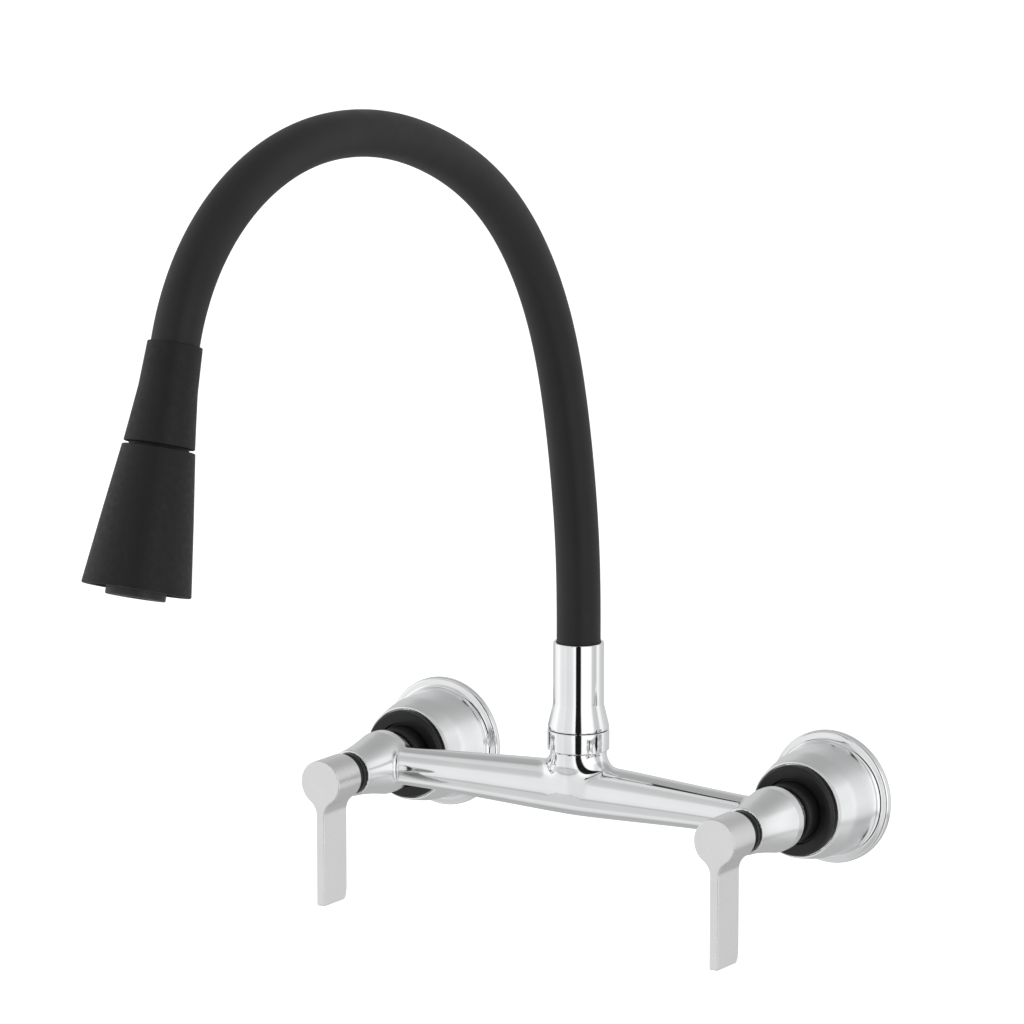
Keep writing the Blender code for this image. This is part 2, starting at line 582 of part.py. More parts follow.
# ---------------------------------------------------------------- riser
def make_riser(riser_axis):
    """Swivel nut on the boss, and the turning spigot, O-rings and hose ferrule."""
    thread = NECK_RADIUS + GAP
    lip = SPIGOT_RADIUS + 2 * GAP
    nut = [(thread, NUT_BASE), (NUT_RADIUS - 0.3, NUT_BASE), (NUT_RADIUS, NUT_BASE + 0.3),
           (NUT_RADIUS, NUT_TOP - 0.3), (NUT_RADIUS - 0.3, NUT_TOP), (lip, NUT_TOP),
           (lip, NUT_LIP_BASE), (thread, NUT_LIP_BASE)]
    add_object("swivel_nut", turned("nut", nut, 22), POLISHED_CHROME, riser_axis)

    spigot_low = WATERWAY_RADIUS
    groove = SPIGOT_RADIUS - 1.3
    outline = [(SPIGOT_RADIUS - SPIGOT_WALL, spigot_low), (SPIGOT_RADIUS, spigot_low)]
    for height in O_RING_HEIGHTS:
        low, high = height - O_RING_SECTION - GAP, height + O_RING_SECTION + GAP
        outline += [(SPIGOT_RADIUS, low), (groove, low), (groove, high), (SPIGOT_RADIUS, high)]
    flange = NECK_RADIUS - 0.2
    top = FERRULE_SEAT - GAP
    outline += [(SPIGOT_RADIUS, SPIGOT_FLANGE_BASE), (flange, SPIGOT_FLANGE_BASE),
                (flange, SPIGOT_FLANGE_BASE + SPIGOT_FLANGE_LENGTH),
                (SPIGOT_RADIUS, SPIGOT_FLANGE_BASE + SPIGOT_FLANGE_LENGTH), (SPIGOT_RADIUS, top),
                (BARB_RADIUS, top), (BARB_RADIUS, top + 9.0), (BARB_BORE, top + 9.0),
                (BARB_BORE, top - 2.0), (SPIGOT_RADIUS - SPIGOT_WALL, top - 3.0)]
    add_object("swivel_spigot", turned("spigot", outline, 16), BRASS, riser_axis)

    ring_radius = groove + GAP + O_RING_SECTION
    for label, height in zip(("lower", "upper"), O_RING_HEIGHTS):
        ring = torus("o_ring", ring_radius, O_RING_SECTION, height, 14, 5)
        add_object("o_ring_" + label, ring, SEAL_RUBBER, riser_axis)

    hose_hole = HOSE_RADIUS + GAP
    ferrule = [(lip, FERRULE_BASE), (NUT_RADIUS - 0.3, FERRULE_BASE), (NUT_RADIUS, FERRULE_BASE + 0.3)]
    flare_steps = 5
    for index in range(1, flare_steps + 1):
        fraction = index / flare_steps
        ferrule.append((blend_between(NUT_RADIUS, FERRULE_NECK_RADIUS, ease(fraction)),
                        blend_between(FERRULE_BASE + 1.0, FERRULE_FLARE_HEIGHT, fraction)))
    ferrule += [(FERRULE_NECK_RADIUS, FERRULE_HEIGHT - 0.4), (FERRULE_NECK_RADIUS - 0.4, FERRULE_HEIGHT),
                (hose_hole, FERRULE_HEIGHT), (hose_hole, FERRULE_SEAT), (lip, FERRULE_SEAT)]
    add_object("hose_ferrule", turned("ferrule", ferrule, 22), POLISHED_CHROME, riser_axis)


# ---------------------------------------------------------------- hose links
def sphere_rings(place, sphere_radius, start_radius, end_radius, steps):
    """Rings on a sphere about a hinge, from one tube radius to another."""
    start, end = math.acos(start_radius / sphere_radius), math.acos(end_radius / sphere_radius)
    rings = []
    for index in range(steps + 1):
        angle = blend_between(start, end, index / steps)
        offset = Matrix.Translation((0.0, 0.0, sphere_radius * MM * math.sin(angle)))
        rings.append((sphere_radius * math.cos(angle), place @ offset))
    return rings


def link_rings(number, outer, inner, curve_steps, end_steps):
    """Rings of one layer of one link: a ball-shaped end turns in the next link's matching cup."""
    first, last = number == 0, number == LINKS - 1
    start = -HOSE_FOOT / LINK_LENGTH if first else float(number)
    end = LINKS + HOSE_TOE / LINK_LENGTH if last else number + 1.0
    between = [hose_place(number + step / curve_steps) for step in range(0 if first else 1, curve_steps)]
    if last:
        between.append(hose_place(float(LINKS)))
    if first:
        rings = [(inner, hose_place(start)), (outer, hose_place(start))]
    else:
        rings = sphere_rings(hose_place(start), SOCKET_RADIUS, inner, outer, end_steps)
    rings += [(outer, place) for place in between]
    if last:
        rings += [(outer, hose_place(end)), (inner, hose_place(end))]
    else:
        rings += sphere_rings(hose_place(end), HOSE_RADIUS, outer, inner, end_steps)
    rings += [(inner, place) for place in reversed(between)]
    return rings


def make_hose():
    """Sleeve, wound gooseneck and water hose of every link, each about its own hinge."""
    layers = (("sleeve_", HOSE_RADIUS, HOSE_BORE, 16, 3, BLACK_SILICONE),
              ("gooseneck_", CORE_RADIUS, CORE_BORE, 8, 1, STEEL),
              ("water_hose_", TUBE_RADIUS, TUBE_BORE, 6, 1, WATER_TUBE))
    for number in range(LINKS):
        hinge_place = hose_place(float(number))
        hinge = bpy.data.objects.new("hinge_%d" % (number + 1), None)
        bpy.context.scene.collection.objects.link(hinge)
        hinge.matrix_world = hinge_place
        to_hinge = hinge_place.inverted()
        for prefix, outer, inner, sides, end_steps, material in layers:
            rings = [(radius, to_hinge @ place)
                     for radius, place in link_rings(number, outer, inner, CURVE_STEPS, end_steps)]
            add_object(prefix + str(number + 1), loft(prefix + "link", rings, sides), material, hinge)


# ---------------------------------------------------------------- spray head
def make_head(head_axis):
    """Upper shell with its brass connector, and the turning cone with nozzle and aerator."""
    hose_hole = HOSE_RADIUS + GAP
    web_end = SEAT_DROP + SHELL_WEB
    nut_bore = SHELL_WAIST_RADIUS - 1.2
    neck_bore = CONE_NECK_RADIUS + GAP + 0.1
    neck_drop = CONE_DROP - CONE_NECK_LENGTH
    throat = CONNECTOR_RADIUS + 1.3
    shell = [(hose_hole, 0.0), (SHELL_MOUTH_RADIUS - 0.3, 0.0), (SHELL_MOUTH_RADIUS, 0.4),
             (SHELL_WAIST_RADIUS, SHELL_WAIST_DROP), (SHELL_SHOULDER_RADIUS, SHELL_SHOULDER_DROP),
             (SHELL_END_RADIUS, SHELL_LENGTH - 0.4), (SHELL_END_RADIUS - 0.3, SHELL_LENGTH),
             (neck_bore, SHELL_LENGTH), (neck_bore, neck_drop - 1.0), (nut_bore, neck_drop - 2.6),
             (nut_bore, web_end), (throat, web_end), (throat, SEAT_DROP), (hose_hole, SEAT_DROP)]
    add_object("head_shell", turned("shell", shell, 24), BLACK_SHELL, head_axis)

    flange_low = web_end + GAP
    flange = nut_bore - GAP
    connector = [(BARB_BORE, 4.0), (BARB_RADIUS, 4.0), (BARB_RADIUS, SEAT_DROP),
                 (throat - GAP, SEAT_DROP), (throat - GAP, flange_low), (flange, flange_low),
                 (flange, flange_low + 3.5), (CONNECTOR_RADIUS, flange_low + 3.8),
                 (CONNECTOR_RADIUS, CONNECTOR_END_DROP), (CONNECTOR_RADIUS - 2.5, CONNECTOR_END_DROP),
                 (CONNECTOR_RADIUS - 2.5, SEAT_DROP + 2.5), (BARB_BORE, SEAT_DROP + 1.0)]
    add_object("head_connector", turned("connector", connector, 14), BRASS, head_axis)

    washer_low = CONNECTOR_END_DROP + GAP
    washer_high = washer_low + WASHER_THICKNESS
    washer = [(CONNECTOR_RADIUS - 2.5, washer_low), (CONNECTOR_RADIUS, washer_low),
              (CONNECTOR_RADIUS, washer_high), (CONNECTOR_RADIUS - 2.5, washer_high)]
    add_object("head_washer", turned("washer", washer, 14), SEAL_RUBBER, head_axis)

    bearing = CONNECTOR_RADIUS + GAP
    feed_hole = FEED_RADIUS + GAP
    ledge_low = washer_high + GAP
    cone = [(bearing, neck_drop), (CONE_NECK_RADIUS - 0.3, neck_drop),
            (CONE_NECK_RADIUS, neck_drop + 0.3), (CONE_NECK_RADIUS, CONE_DROP),
            (CONE_TOP_RADIUS - 0.3, CONE_DROP), (CONE_TOP_RADIUS, CONE_DROP + 0.4),
            (cone_radius(0.5), blend_between(CONE_DROP, CONE_END_DROP, 0.5)),
            (CONE_END_RADIUS, CONE_END_DROP - 0.6), (CONE_END_RADIUS - 0.5, CONE_END_DROP),
            (CONE_END_RADIUS - CONE_WALL, CONE_END_DROP),
            (cone_radius(0.5) - CONE_WALL, blend_between(CONE_DROP, CONE_END_DROP, 0.5)),
            (cone_radius(0.1) - CONE_WALL, blend_between(CONE_DROP, CONE_END_DROP, 0.1)),
            (feed_hole, ledge_low + 3.0), (feed_hole, ledge_low), (bearing, ledge_low)]
    add_object("selector_cone", turned("cone", cone, 24), BLACK_SHELL, head_axis)

    plate_share = (PLATE_DROP - CONE_DROP) / CONE_LENGTH
    plate_radius = cone_radius(plate_share) - CONE_WALL - 2 * GAP
    plate_floor = PLATE_DROP + PLATE_THICKNESS
    plate_high = CONE_END_DROP + NOZZLE_PROUD
    aerator_bore = AERATOR_RADIUS + GAP
    aerator_seat = PLATE_DROP + 1.6
    plate = [(FEED_BORE, ledge_low + GAP), (FEED_RADIUS, ledge_low + GAP), (FEED_RADIUS, PLATE_DROP),
             (plate_radius, PLATE_DROP), (plate_radius, plate_floor), (NOZZLE_RADIUS, plate_floor),
             (NOZZLE_RADIUS, plate_high - 0.5), (NOZZLE_RADIUS - 0.5, plate_high),
             (aerator_bore, plate_high), (aerator_bore, aerator_seat), (FEED_BORE, aerator_seat - 0.6)]
    add_object("spray_plate", turned("plate", plate, 22), BLACK_NOZZLE, head_axis)

    aerator_low, aerator_high = aerator_seat + GAP, plate_high - 0.4
    aerator = [(AERATOR_RADIUS - 2.2, aerator_low), (AERATOR_RADIUS, aerator_low),
               (AERATOR_RADIUS, aerator_high - 0.4), (AERATOR_RADIUS - 0.5, aerator_high),
               (AERATOR_RADIUS - 2.2, aerator_high)]
    add_object("aerator", turned("aerator", aerator, 16), AERATOR_PLASTIC, head_axis)


def cone_radius(share):
    """Outer radius of the selector cone at a share of its length."""
    return blend_between(CONE_TOP_RADIUS, CONE_END_RADIUS, share)


# ---------------------------------------------------------------- assembly
def build_faucet():
    """Place every group on its own axis."""
    outward = math.pi / 2
    valve_axes = {}
    for side, sign in (("left", -1.0), ("right", 1.0)):
        centre = (sign * INLET_SPACING / 2.0, 0.0, 0.0)
        valve_axes[side] = add_axis("inlet_axis_" + side, centre, outward)
        lever_axis = add_axis("lever_axis_" + side, centre, outward)
        make_inlet(side, valve_axes[side])
        make_valve(side, valve_axes[side], lever_axis)
    riser_axis = add_axis("riser_axis", (0.0, -SPOUT_REACH, 0.0), 0.0)
    make_mixer(valve_axes, riser_axis)
    make_riser(riser_axis)
    make_hose()
    head_axis = bpy.data.objects.new("head_axis", None)
    bpy.context.scene.collection.objects.link(head_axis)
    head_axis.matrix_world = hose_place(float(LINKS))
    make_head(head_axis)
    bpy.context.view_layer.update()


build_faucet()
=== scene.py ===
"""Looks of the wall-mounted bridge faucet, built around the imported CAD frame.

Frame: X along the wall, -Y out from the wall, +Z up, metres.  Outlines below are in
millimetres: "reach" is a distance out from the wall, "drop" a distance down the spray head.
"""
import json
import math

import bmesh
import bpy
import numpy as np
from mathutils import Matrix, Vector

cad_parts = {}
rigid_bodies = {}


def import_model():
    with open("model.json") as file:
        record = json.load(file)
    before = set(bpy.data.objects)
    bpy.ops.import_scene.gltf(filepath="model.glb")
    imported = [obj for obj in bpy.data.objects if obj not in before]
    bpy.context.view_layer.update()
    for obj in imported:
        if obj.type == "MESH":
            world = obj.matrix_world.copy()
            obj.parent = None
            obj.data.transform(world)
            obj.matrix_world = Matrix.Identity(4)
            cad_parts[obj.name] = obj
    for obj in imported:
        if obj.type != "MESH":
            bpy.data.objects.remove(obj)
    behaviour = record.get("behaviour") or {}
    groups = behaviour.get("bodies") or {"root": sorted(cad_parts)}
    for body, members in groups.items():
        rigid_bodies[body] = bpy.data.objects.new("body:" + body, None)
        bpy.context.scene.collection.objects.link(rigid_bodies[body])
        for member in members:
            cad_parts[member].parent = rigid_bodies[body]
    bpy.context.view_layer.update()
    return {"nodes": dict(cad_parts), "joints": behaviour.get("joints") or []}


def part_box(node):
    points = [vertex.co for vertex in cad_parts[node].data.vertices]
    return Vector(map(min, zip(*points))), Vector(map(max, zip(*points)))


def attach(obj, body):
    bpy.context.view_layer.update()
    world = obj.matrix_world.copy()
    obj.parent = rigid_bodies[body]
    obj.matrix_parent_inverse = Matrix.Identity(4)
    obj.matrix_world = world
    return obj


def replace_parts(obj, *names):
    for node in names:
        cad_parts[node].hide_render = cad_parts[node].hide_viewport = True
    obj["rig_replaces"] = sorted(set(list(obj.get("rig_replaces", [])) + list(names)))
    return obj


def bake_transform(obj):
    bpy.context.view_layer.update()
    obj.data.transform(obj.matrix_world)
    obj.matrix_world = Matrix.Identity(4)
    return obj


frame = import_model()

MM = 0.001
NODES = frame["nodes"]
JOINTS = {joint["name"]: joint for joint in frame["joints"]}
SIDES = (("left", -1.0), ("right", 1.0))


# ---------------------------------------------------------------- sizes read from the frame (mm)
def extent(node, axis):
    """Lowest and highest coordinate of a CAD node along one axis, in millimetres."""
    low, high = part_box(node)
    return low[axis] / MM, high[axis] / MM


HALF_SPACING = abs(JOINTS["left_valve"]["pos_m"][0]) / MM
SPOUT_REACH = -JOINTS["spout_swivel"]["pos_m"][1] / MM
HOSE_RADIUS = extent("sleeve_2", 0)[1]
RIM_RADIUS = extent("escutcheon_left", 2)[1]
CUP_REACH = -extent("escutcheon_left", 1)[0]
COLLAR_RADIUS = extent("collar_left", 2)[1]
COLLAR_REAR, COLLAR_FRONT = (-extent("collar_left", 1)[1], -extent("collar_left", 1)[0])
BARREL_REACH = -extent("mixer_body", 1)[0]
BONNET_RADIUS = extent("bonnet_ring_left", 2)[1]
BONNET_REAR, BONNET_FRONT = (-extent("bonnet_ring_left", 1)[1], -extent("bonnet_ring_left", 1)[0])
LEVER_REAR, LEVER_FRONT = (-extent("handle_left", 1)[1], -extent("handle_left", 1)[0])
LEVER_LOW, LEVER_RADIUS = extent("handle_left", 2)
NUT_LOW, NUT_HIGH = extent("swivel_nut", 2)
NUT_RADIUS = extent("swivel_nut", 0)[1]
FERRULE_LOW, FERRULE_HIGH = extent("hose_ferrule", 2)
NIPPLE_DEPTH = extent("inlet_union_left", 1)[1]
UNION_END = -extent("inlet_union_left", 1)[0]

# Sizes that the frame's boxes do not show.
PIECE_GAP = 0.3                       # between a bore and what it holds
NIPPLE_RADIUS = 10.4
UNION_BORE, UNION_TUBE = 6.5, 9.0
COLLAR_FLANGE = 5.0                   # length of the collar's wide part
COLLAR_BORE, COLLAR_SOCKET = 9.4, 12.3
COLLAR_HUB, COLLAR_GROOVE = 13.5, 14.5
BARREL_TAIL_REACH, BARREL_TAIL = 38.6, 12.0
BARREL_REAR_REACH, BARREL_RADIUS, BARREL_FRONT = 49.0, 14.35, 10.45
STEM_BORE = 4.3
ARM_MIDDLE, ARM_END, ARM_SWEEP = 11.9, 8.6, 5.4
BOSS_RADIUS, BOSS_HEIGHT = 12.5, 17.9
NECK_RADIUS, NECK_HEIGHT = 10.8, 22.0
CAVITY_RADIUS, CAVITY_REACH = 8.2, 47.5
WATERWAY, RISER_BORE = 5.0, 7.6
FERRULE_NECK, FERRULE_SOCKET = 11.25, 21.9
HOSE_LENGTH, SLEEVE_BORE = 493.0, 8.2


# ---------------------------------------------------------------- camera, floor and light
CAMERA_PLACE = Vector((1.3049, -2.1543, 0.5930))
CAMERA_AIM = Vector((-0.0282, -0.0590, 0.1234))
LENS = 201.9


def make_camera():
    """The photograph's viewpoint: slightly above, from the right, with a long lens."""
    data = bpy.data.cameras.new("camera")
    data.lens = LENS
    data.sensor_width = 36.0
    data.clip_start, data.clip_end = 0.1, 50.0
    camera = bpy.data.objects.new("camera", data)
    bpy.context.scene.collection.objects.link(camera)
    camera.location = CAMERA_PLACE
    camera.rotation_mode = "QUATERNION"
    camera.rotation_quaternion = (CAMERA_AIM - CAMERA_PLACE).to_track_quat("-Z", "Y")
    bpy.context.scene.camera = camera


def node(tree, kind, **settings):
    """New shader node; settings are its attributes."""
    made = tree.nodes.new(kind)
    for name, value in settings.items():
        setattr(made, name, value)
    return made


def ramp_stops(ramp, stops):
    """Set a colour ramp's stops from (position, grey) pairs."""
    elements = ramp.color_ramp.elements
    while len(elements) > 1:
        elements.remove(elements[-1])
    elements[0].position = stops[0][0]
    elements[0].color = (stops[0][1],) * 3 + (1.0,)
    for position, grey in stops[1:]:
        elements.new(position).color = (grey,) * 3 + (1.0,)


def math_node(tree, operation, first, second=None):
    """Math node of one or two inputs, each a socket or a number."""
    made = node(tree, "ShaderNodeMath", operation=operation)
    for index, value in enumerate((first, second)):
        if value is None:
            continue
        if isinstance(value, (int, float)):
            made.inputs[index].default_value = value
        else:
            tree.links.new(value, made.inputs[index])
    return made.outputs[0]


def make_world():
    """A pale tent, bright on the camera's side, with a narrow dark opening at the camera."""
    world = bpy.data.worlds.new("tent")
    bpy.context.scene.world = world
    world.use_nodes = True
    tree = world.node_tree
    tree.nodes.clear()
    direction = node(tree, "ShaderNodeTexCoord").outputs["Generated"]
    parts = node(tree, "ShaderNodeSeparateXYZ")
    tree.links.new(direction, parts.inputs[0])
    opening = math.atan2(CAMERA_PLACE.x, -CAMERA_PLACE.y)
    backward = math_node(tree, "MULTIPLY", parts.outputs["Y"], -1.0)
    azimuth = math_node(tree, "ARCTAN2", parts.outputs["X"], backward)
    turned_to = math_node(tree, "SUBTRACT", azimuth, opening)
    wrapped = math_node(tree, "WRAP", turned_to, math.pi)
    wrapped.node.inputs[2].default_value = -math.pi
    share = math_node(tree, "MULTIPLY_ADD", wrapped, 0.5 / math.pi)
    share.node.inputs[2].default_value = 0.5
    around = node(tree, "ShaderNodeValToRGB")
    tree.links.new(share, around.inputs[0])
    ramp_stops(around, AROUND_STOPS)
    lift = math_node(tree, "MULTIPLY_ADD", parts.outputs["Z"], 0.5)
    lift.node.inputs[2].default_value = 0.5
    upward = node(tree, "ShaderNodeValToRGB")
    tree.links.new(lift, upward.inputs[0])
    ramp_stops(upward, UPWARD_STOPS)
    product = node(tree, "ShaderNodeMix", data_type="RGBA", blend_type="MULTIPLY")
    product.inputs["Factor"].default_value = 1.0
    tree.links.new(around.outputs["Color"], product.inputs["A"])
    tree.links.new(upward.outputs["Color"], product.inputs["B"])
    tent = node(tree, "ShaderNodeBackground")
    tent.inputs["Strength"].default_value = TENT_STRENGTH
    tree.links.new(product.outputs["Result"], tent.inputs["Color"])
    backdrop = node(tree, "ShaderNodeBackground")
    backdrop.inputs["Color"].default_value = (1.0, 1.0, 1.0, 1.0)
    seen = node(tree, "ShaderNodeLightPath").outputs["Is Camera Ray"]
    chooser = node(tree, "ShaderNodeMixShader")
    tree.links.new(seen, chooser.inputs[0])
    tree.links.new(tent.outputs[0], chooser.inputs[1])
    tree.links.new(backdrop.outputs[0], chooser.inputs[2])
    tree.links.new(chooser.outputs[0], node(tree, "ShaderNodeOutputWorld").inputs["Surface"])


# Brightness around the tent, 0.5 being towards the camera, and from its foot up to its top.
AROUND_STOPS = [(0.0, 0.60), (0.12, 0.60), (0.16, 0.95), (0.23, 1.08), (0.265, 0.86), (0.30, 0.83),
                (0.335, 0.85), (0.36, 0.76), (0.42, 0.80), (0.45, 1.05), (0.465, 1.05), (0.471, 0.01),
                (0.529, 0.01), (0.536, 1.05), (0.60, 1.15), (0.66, 1.05), (0.685, 0.62), (0.735, 0.58),
                (0.76, 1.0), (0.785, 0.95), (0.815, 0.70), (0.88, 0.60), (1.0, 0.60)]
UPWARD_STOPS = [(0.0, 0.78), (0.24, 0.80), (0.275, 0.64), (0.29, 0.66), (0.33, 1.0), (0.46, 1.06),
                (0.72, 1.04), (0.79, 0.78), (0.91, 0.68), (0.96, 0.80), (1.0, 0.74)]
TENT_STRENGTH = 1.0


def make_floor():
    """Plain pale floor below the faucet, seen by the camera only, and only from above."""
    mesh = bpy.data.meshes.new("floor")
    size = 40.0
    mesh.from_pydata([(-size, -size, 0), (size, -size, 0), (size, size, 0), (-size, size, 0)],
                     [], [(0, 1, 2, 3)])
    floor = bpy.data.objects.new("floor", mesh)
    bpy.context.scene.collection.objects.link(floor)
    floor.location.z = -0.6
    material = bpy.data.materials.new("pale_floor")
    material.use_nodes = True
    tree = material.node_tree
    shader = tree.nodes["Principled BSDF"]
    shader.inputs["Base Color"].default_value = (0.9, 0.9, 0.9, 1.0)
    shader.inputs["Roughness"].default_value = 0.9
    shader.inputs["Emission Color"].default_value = (1.0, 1.0, 1.0, 1.0)
    shader.inputs["Emission Strength"].default_value = 0.6
    from_below = node(tree, "ShaderNodeNewGeometry").outputs["Backfacing"]
    sides = node(tree, "ShaderNodeMixShader")
    tree.links.new(from_below, sides.inputs[0])
    tree.links.new(shader.outputs[0], sides.inputs[1])
    tree.links.new(node(tree, "ShaderNodeBsdfTransparent").outputs[0], sides.inputs[2])
    tree.links.new(sides.outputs[0], tree.nodes["Material Output"].inputs["Surface"])
    mesh.materials.append(material)
    floor.visible_glossy = False
    floor.visible_diffuse = False
    floor.visible_shadow = False


def make_light(name, place, aim, size, power):
    """Soft rectangular studio light."""
    data = bpy.data.lights.new(name, "AREA")
    data.shape = "RECTANGLE"
    data.size, data.size_y = size
    data.energy = power
    light = bpy.data.objects.new(name, data)
    bpy.context.scene.collection.objects.link(light)
    light.location = place
    light.rotation_mode = "QUATERNION"
    light.rotation_quaternion = (Vector(aim) - Vector(place)).to_track_quat("-Z", "Y")
    light.visible_glossy = False
    light.visible_camera = False


bpy.context.scene.view_settings.view_transform = "Standard"
make_camera()
make_world()
make_floor()
make_light("key_left", (-1.6, -1.2, 1.6), (0.0, -0.2, 0.15), (1.2, 1.2), 22.0)


# ---------------------------------------------------------------- materials
def make_material(name, dark, light, mottle, roughness, grain, bump, metallic=0.0, rings=None,
                  specular=0.5, clearcoat=0.0, softer=None):
    """Principled material whose colour, gloss and surface all vary.

    dark and light are the colour's two ends, mottle the size in mm of its slow patches,
    roughness its lowest and highest value, grain the size in mm of the fine surface texture
    and bump its height in mm.  rings adds fine turning marks as (axis, pitch in mm, height in mm).
    softer adds roughness away from the origin's plane, as (from mm, to mm, added roughness, axis).
    """
    material = bpy.data.materials.new(name)
    material.use_nodes = True
    tree = material.node_tree
    shader = tree.nodes["Principled BSDF"]
    shader.inputs["Metallic"].default_value = metallic
    shader.inputs["Specular IOR Level"].default_value = specular
    shader.inputs["Coat Weight"].default_value = clearcoat
    shader.inputs["Coat Roughness"].default_value = 0.15
    place = node(tree, "ShaderNodeTexCoord").outputs["Object"]

    patches = node(tree, "ShaderNodeTexNoise")
    patches.inputs["Scale"].default_value = 1.0 / (mottle * MM)
    patches.inputs["Detail"].default_value = 5.0
    tree.links.new(place, patches.inputs["Vector"])
    colour = node(tree, "ShaderNodeMix", data_type="RGBA")
    colour.inputs["A"].default_value = (*dark, 1.0)
    colour.inputs["B"].default_value = (*light, 1.0)
    tree.links.new(patches.outputs["Fac"], colour.inputs["Factor"])
    tree.links.new(colour.outputs["Result"], shader.inputs["Base Color"])

    gloss = node(tree, "ShaderNodeMapRange")
    gloss.inputs["From Min"].default_value = 0.3
    gloss.inputs["From Max"].default_value = 0.7
    gloss.inputs["To Min"].default_value = roughness[0]
    gloss.inputs["To Max"].default_value = roughness[1]
    smear = node(tree, "ShaderNodeTexNoise")
    smear.inputs["Scale"].default_value = 2.3 / (mottle * MM)
    smear.inputs["Detail"].default_value = 3.0
    tree.links.new(place, smear.inputs["Vector"])
    tree.links.new(smear.outputs["Fac"], gloss.inputs["Value"])
    finish = gloss.outputs["Result"]
    if softer is not None:
        start, end, added, softer_axis = softer
        parts = node(tree, "ShaderNodeSeparateXYZ")
        tree.links.new(place, parts.inputs[0])
        away = math_node(tree, "ABSOLUTE", parts.outputs[softer_axis])
        extra = node(tree, "ShaderNodeMapRange", interpolation_type="SMOOTHSTEP")
        extra.inputs["From Min"].default_value = start * MM
        extra.inputs["From Max"].default_value = end * MM
        extra.inputs["To Max"].default_value = added
        tree.links.new(away, extra.inputs["Value"])
        finish = math_node(tree, "ADD", finish, extra.outputs["Result"])
    tree.links.new(finish, shader.inputs["Roughness"])

    fine = node(tree, "ShaderNodeTexNoise")
    fine.inputs["Scale"].default_value = 1.0 / (grain * MM)
    fine.inputs["Detail"].default_value = 2.0
    tree.links.new(place, fine.inputs["Vector"])
    surface = node(tree, "ShaderNodeBump")
    surface.inputs["Strength"].default_value = 1.0
    surface.inputs["Distance"].default_value = bump * MM
    tree.links.new(fine.outputs["Fac"], surface.inputs["Height"])
    last = surface
    if rings is not None:
        axis, pitch, height = rings
        waves = node(tree, "ShaderNodeTexWave", wave_type="BANDS", bands_direction=axis)
        waves.inputs["Scale"].default_value = math.pi / (10.0 * pitch * MM)
        waves.inputs["Distortion"].default_value = 0.6
        tree.links.new(place, waves.inputs["Vector"])
        marks = node(tree, "ShaderNodeBump")
        marks.inputs["Strength"].default_value = 1.0
        marks.inputs["Distance"].default_value = height * MM
        tree.links.new(waves.outputs["Fac"], marks.inputs["Height"])
        tree.links.new(surface.outputs["Normal"], marks.inputs["Normal"])
        last = marks
    tree.links.new(last.outputs["Normal"], shader.inputs["Normal"])
    return material


MATERIALS = {
    "polished_chrome": make_material("polished_chrome", (0.84, 0.85, 0.86), (0.93, 0.935, 0.94), 22.0,
                                     (0.035, 0.075), 6.0, 0.0012, metallic=1.0),
    "casting_chrome": make_material("casting_chrome", (0.84, 0.85, 0.86), (0.93, 0.935, 0.94), 22.0,
                                    (0.05, 0.09), 6.0, 0.0012, metallic=1.0, softer=(84.0, 90.0, 0.14, 0)),
    "bell_chrome": make_material("bell_chrome", (0.84, 0.85, 0.86), (0.93, 0.935, 0.94), 22.0,
                                 (0.07, 0.11), 6.0, 0.0012, metallic=1.0, softer=(4.0, 11.0, 0.14, 1)),
    "satin_chrome": make_material("satin_chrome", (0.79, 0.79, 0.79), (0.84, 0.84, 0.84), 14.0,
                                  (0.26, 0.32), 1.2, 0.0012, metallic=1.0),
    "black_collar": make_material("black_collar", (0.005, 0.005, 0.005), (0.010, 0.010, 0.011), 6.0,
                                  (0.30, 0.42), 0.5, 0.006, rings=("Y", 0.5, 0.003), specular=0.4),
    "black_silicone": make_material("black_silicone", (0.010, 0.010, 0.011), (0.014, 0.014, 0.015), 24.0,
                                    (0.48, 0.54), 0.40, 0.006, specular=0.36),
    "black_shell": make_material("black_shell", (0.005, 0.005, 0.006), (0.009, 0.009, 0.010), 5.0,
                                 (0.46, 0.60), 0.22, 0.022, specular=0.34),
    "black_nozzle": make_material("black_nozzle", (0.018, 0.018, 0.018), (0.034, 0.034, 0.034), 3.0,
                                  (0.42, 0.55), 0.25, 0.010),
    "brass": make_material("brass", (0.62, 0.45, 0.20), (0.80, 0.63, 0.33), 4.0,
                           (0.22, 0.40), 0.4, 0.004, metallic=1.0, rings=("Y", 0.35, 0.006)),
    "steel": make_material("steel", (0.42, 0.42, 0.43), (0.62, 0.62, 0.63), 3.0,
                           (0.24, 0.42), 0.3, 0.004, metallic=1.0, rings=("Z", 2.2, 0.25)),
    "seal_rubber": make_material("seal_rubber", (0.014, 0.014, 0.014), (0.035, 0.035, 0.035), 2.5,
                                 (0.65, 0.85), 0.3, 0.015),
    "water_tube": make_material("water_tube", (0.62, 0.64, 0.62), (0.78, 0.79, 0.76), 5.0,
                                (0.35, 0.50), 0.5, 0.010, clearcoat=0.2),
    "ceramic": make_material("ceramic", (0.76, 0.74, 0.68), (0.90, 0.89, 0.85), 0.8,
                             (0.12, 0.22), 0.2, 0.002),
    "aerator_plastic": make_material("aerator_plastic", (0.50, 0.52, 0.54), (0.66, 0.68, 0.70), 2.0,
                                     (0.32, 0.48), 0.3, 0.008),
}


# ---------------------------------------------------------------- mesh helpers
def outward_axis(x, reach=0.0):
    """Local Z points out from the wall along an inlet's axis."""
    return Matrix.Translation((x * MM, -reach * MM, 0.0)) @ Matrix.Rotation(math.pi / 2, 4, "X")


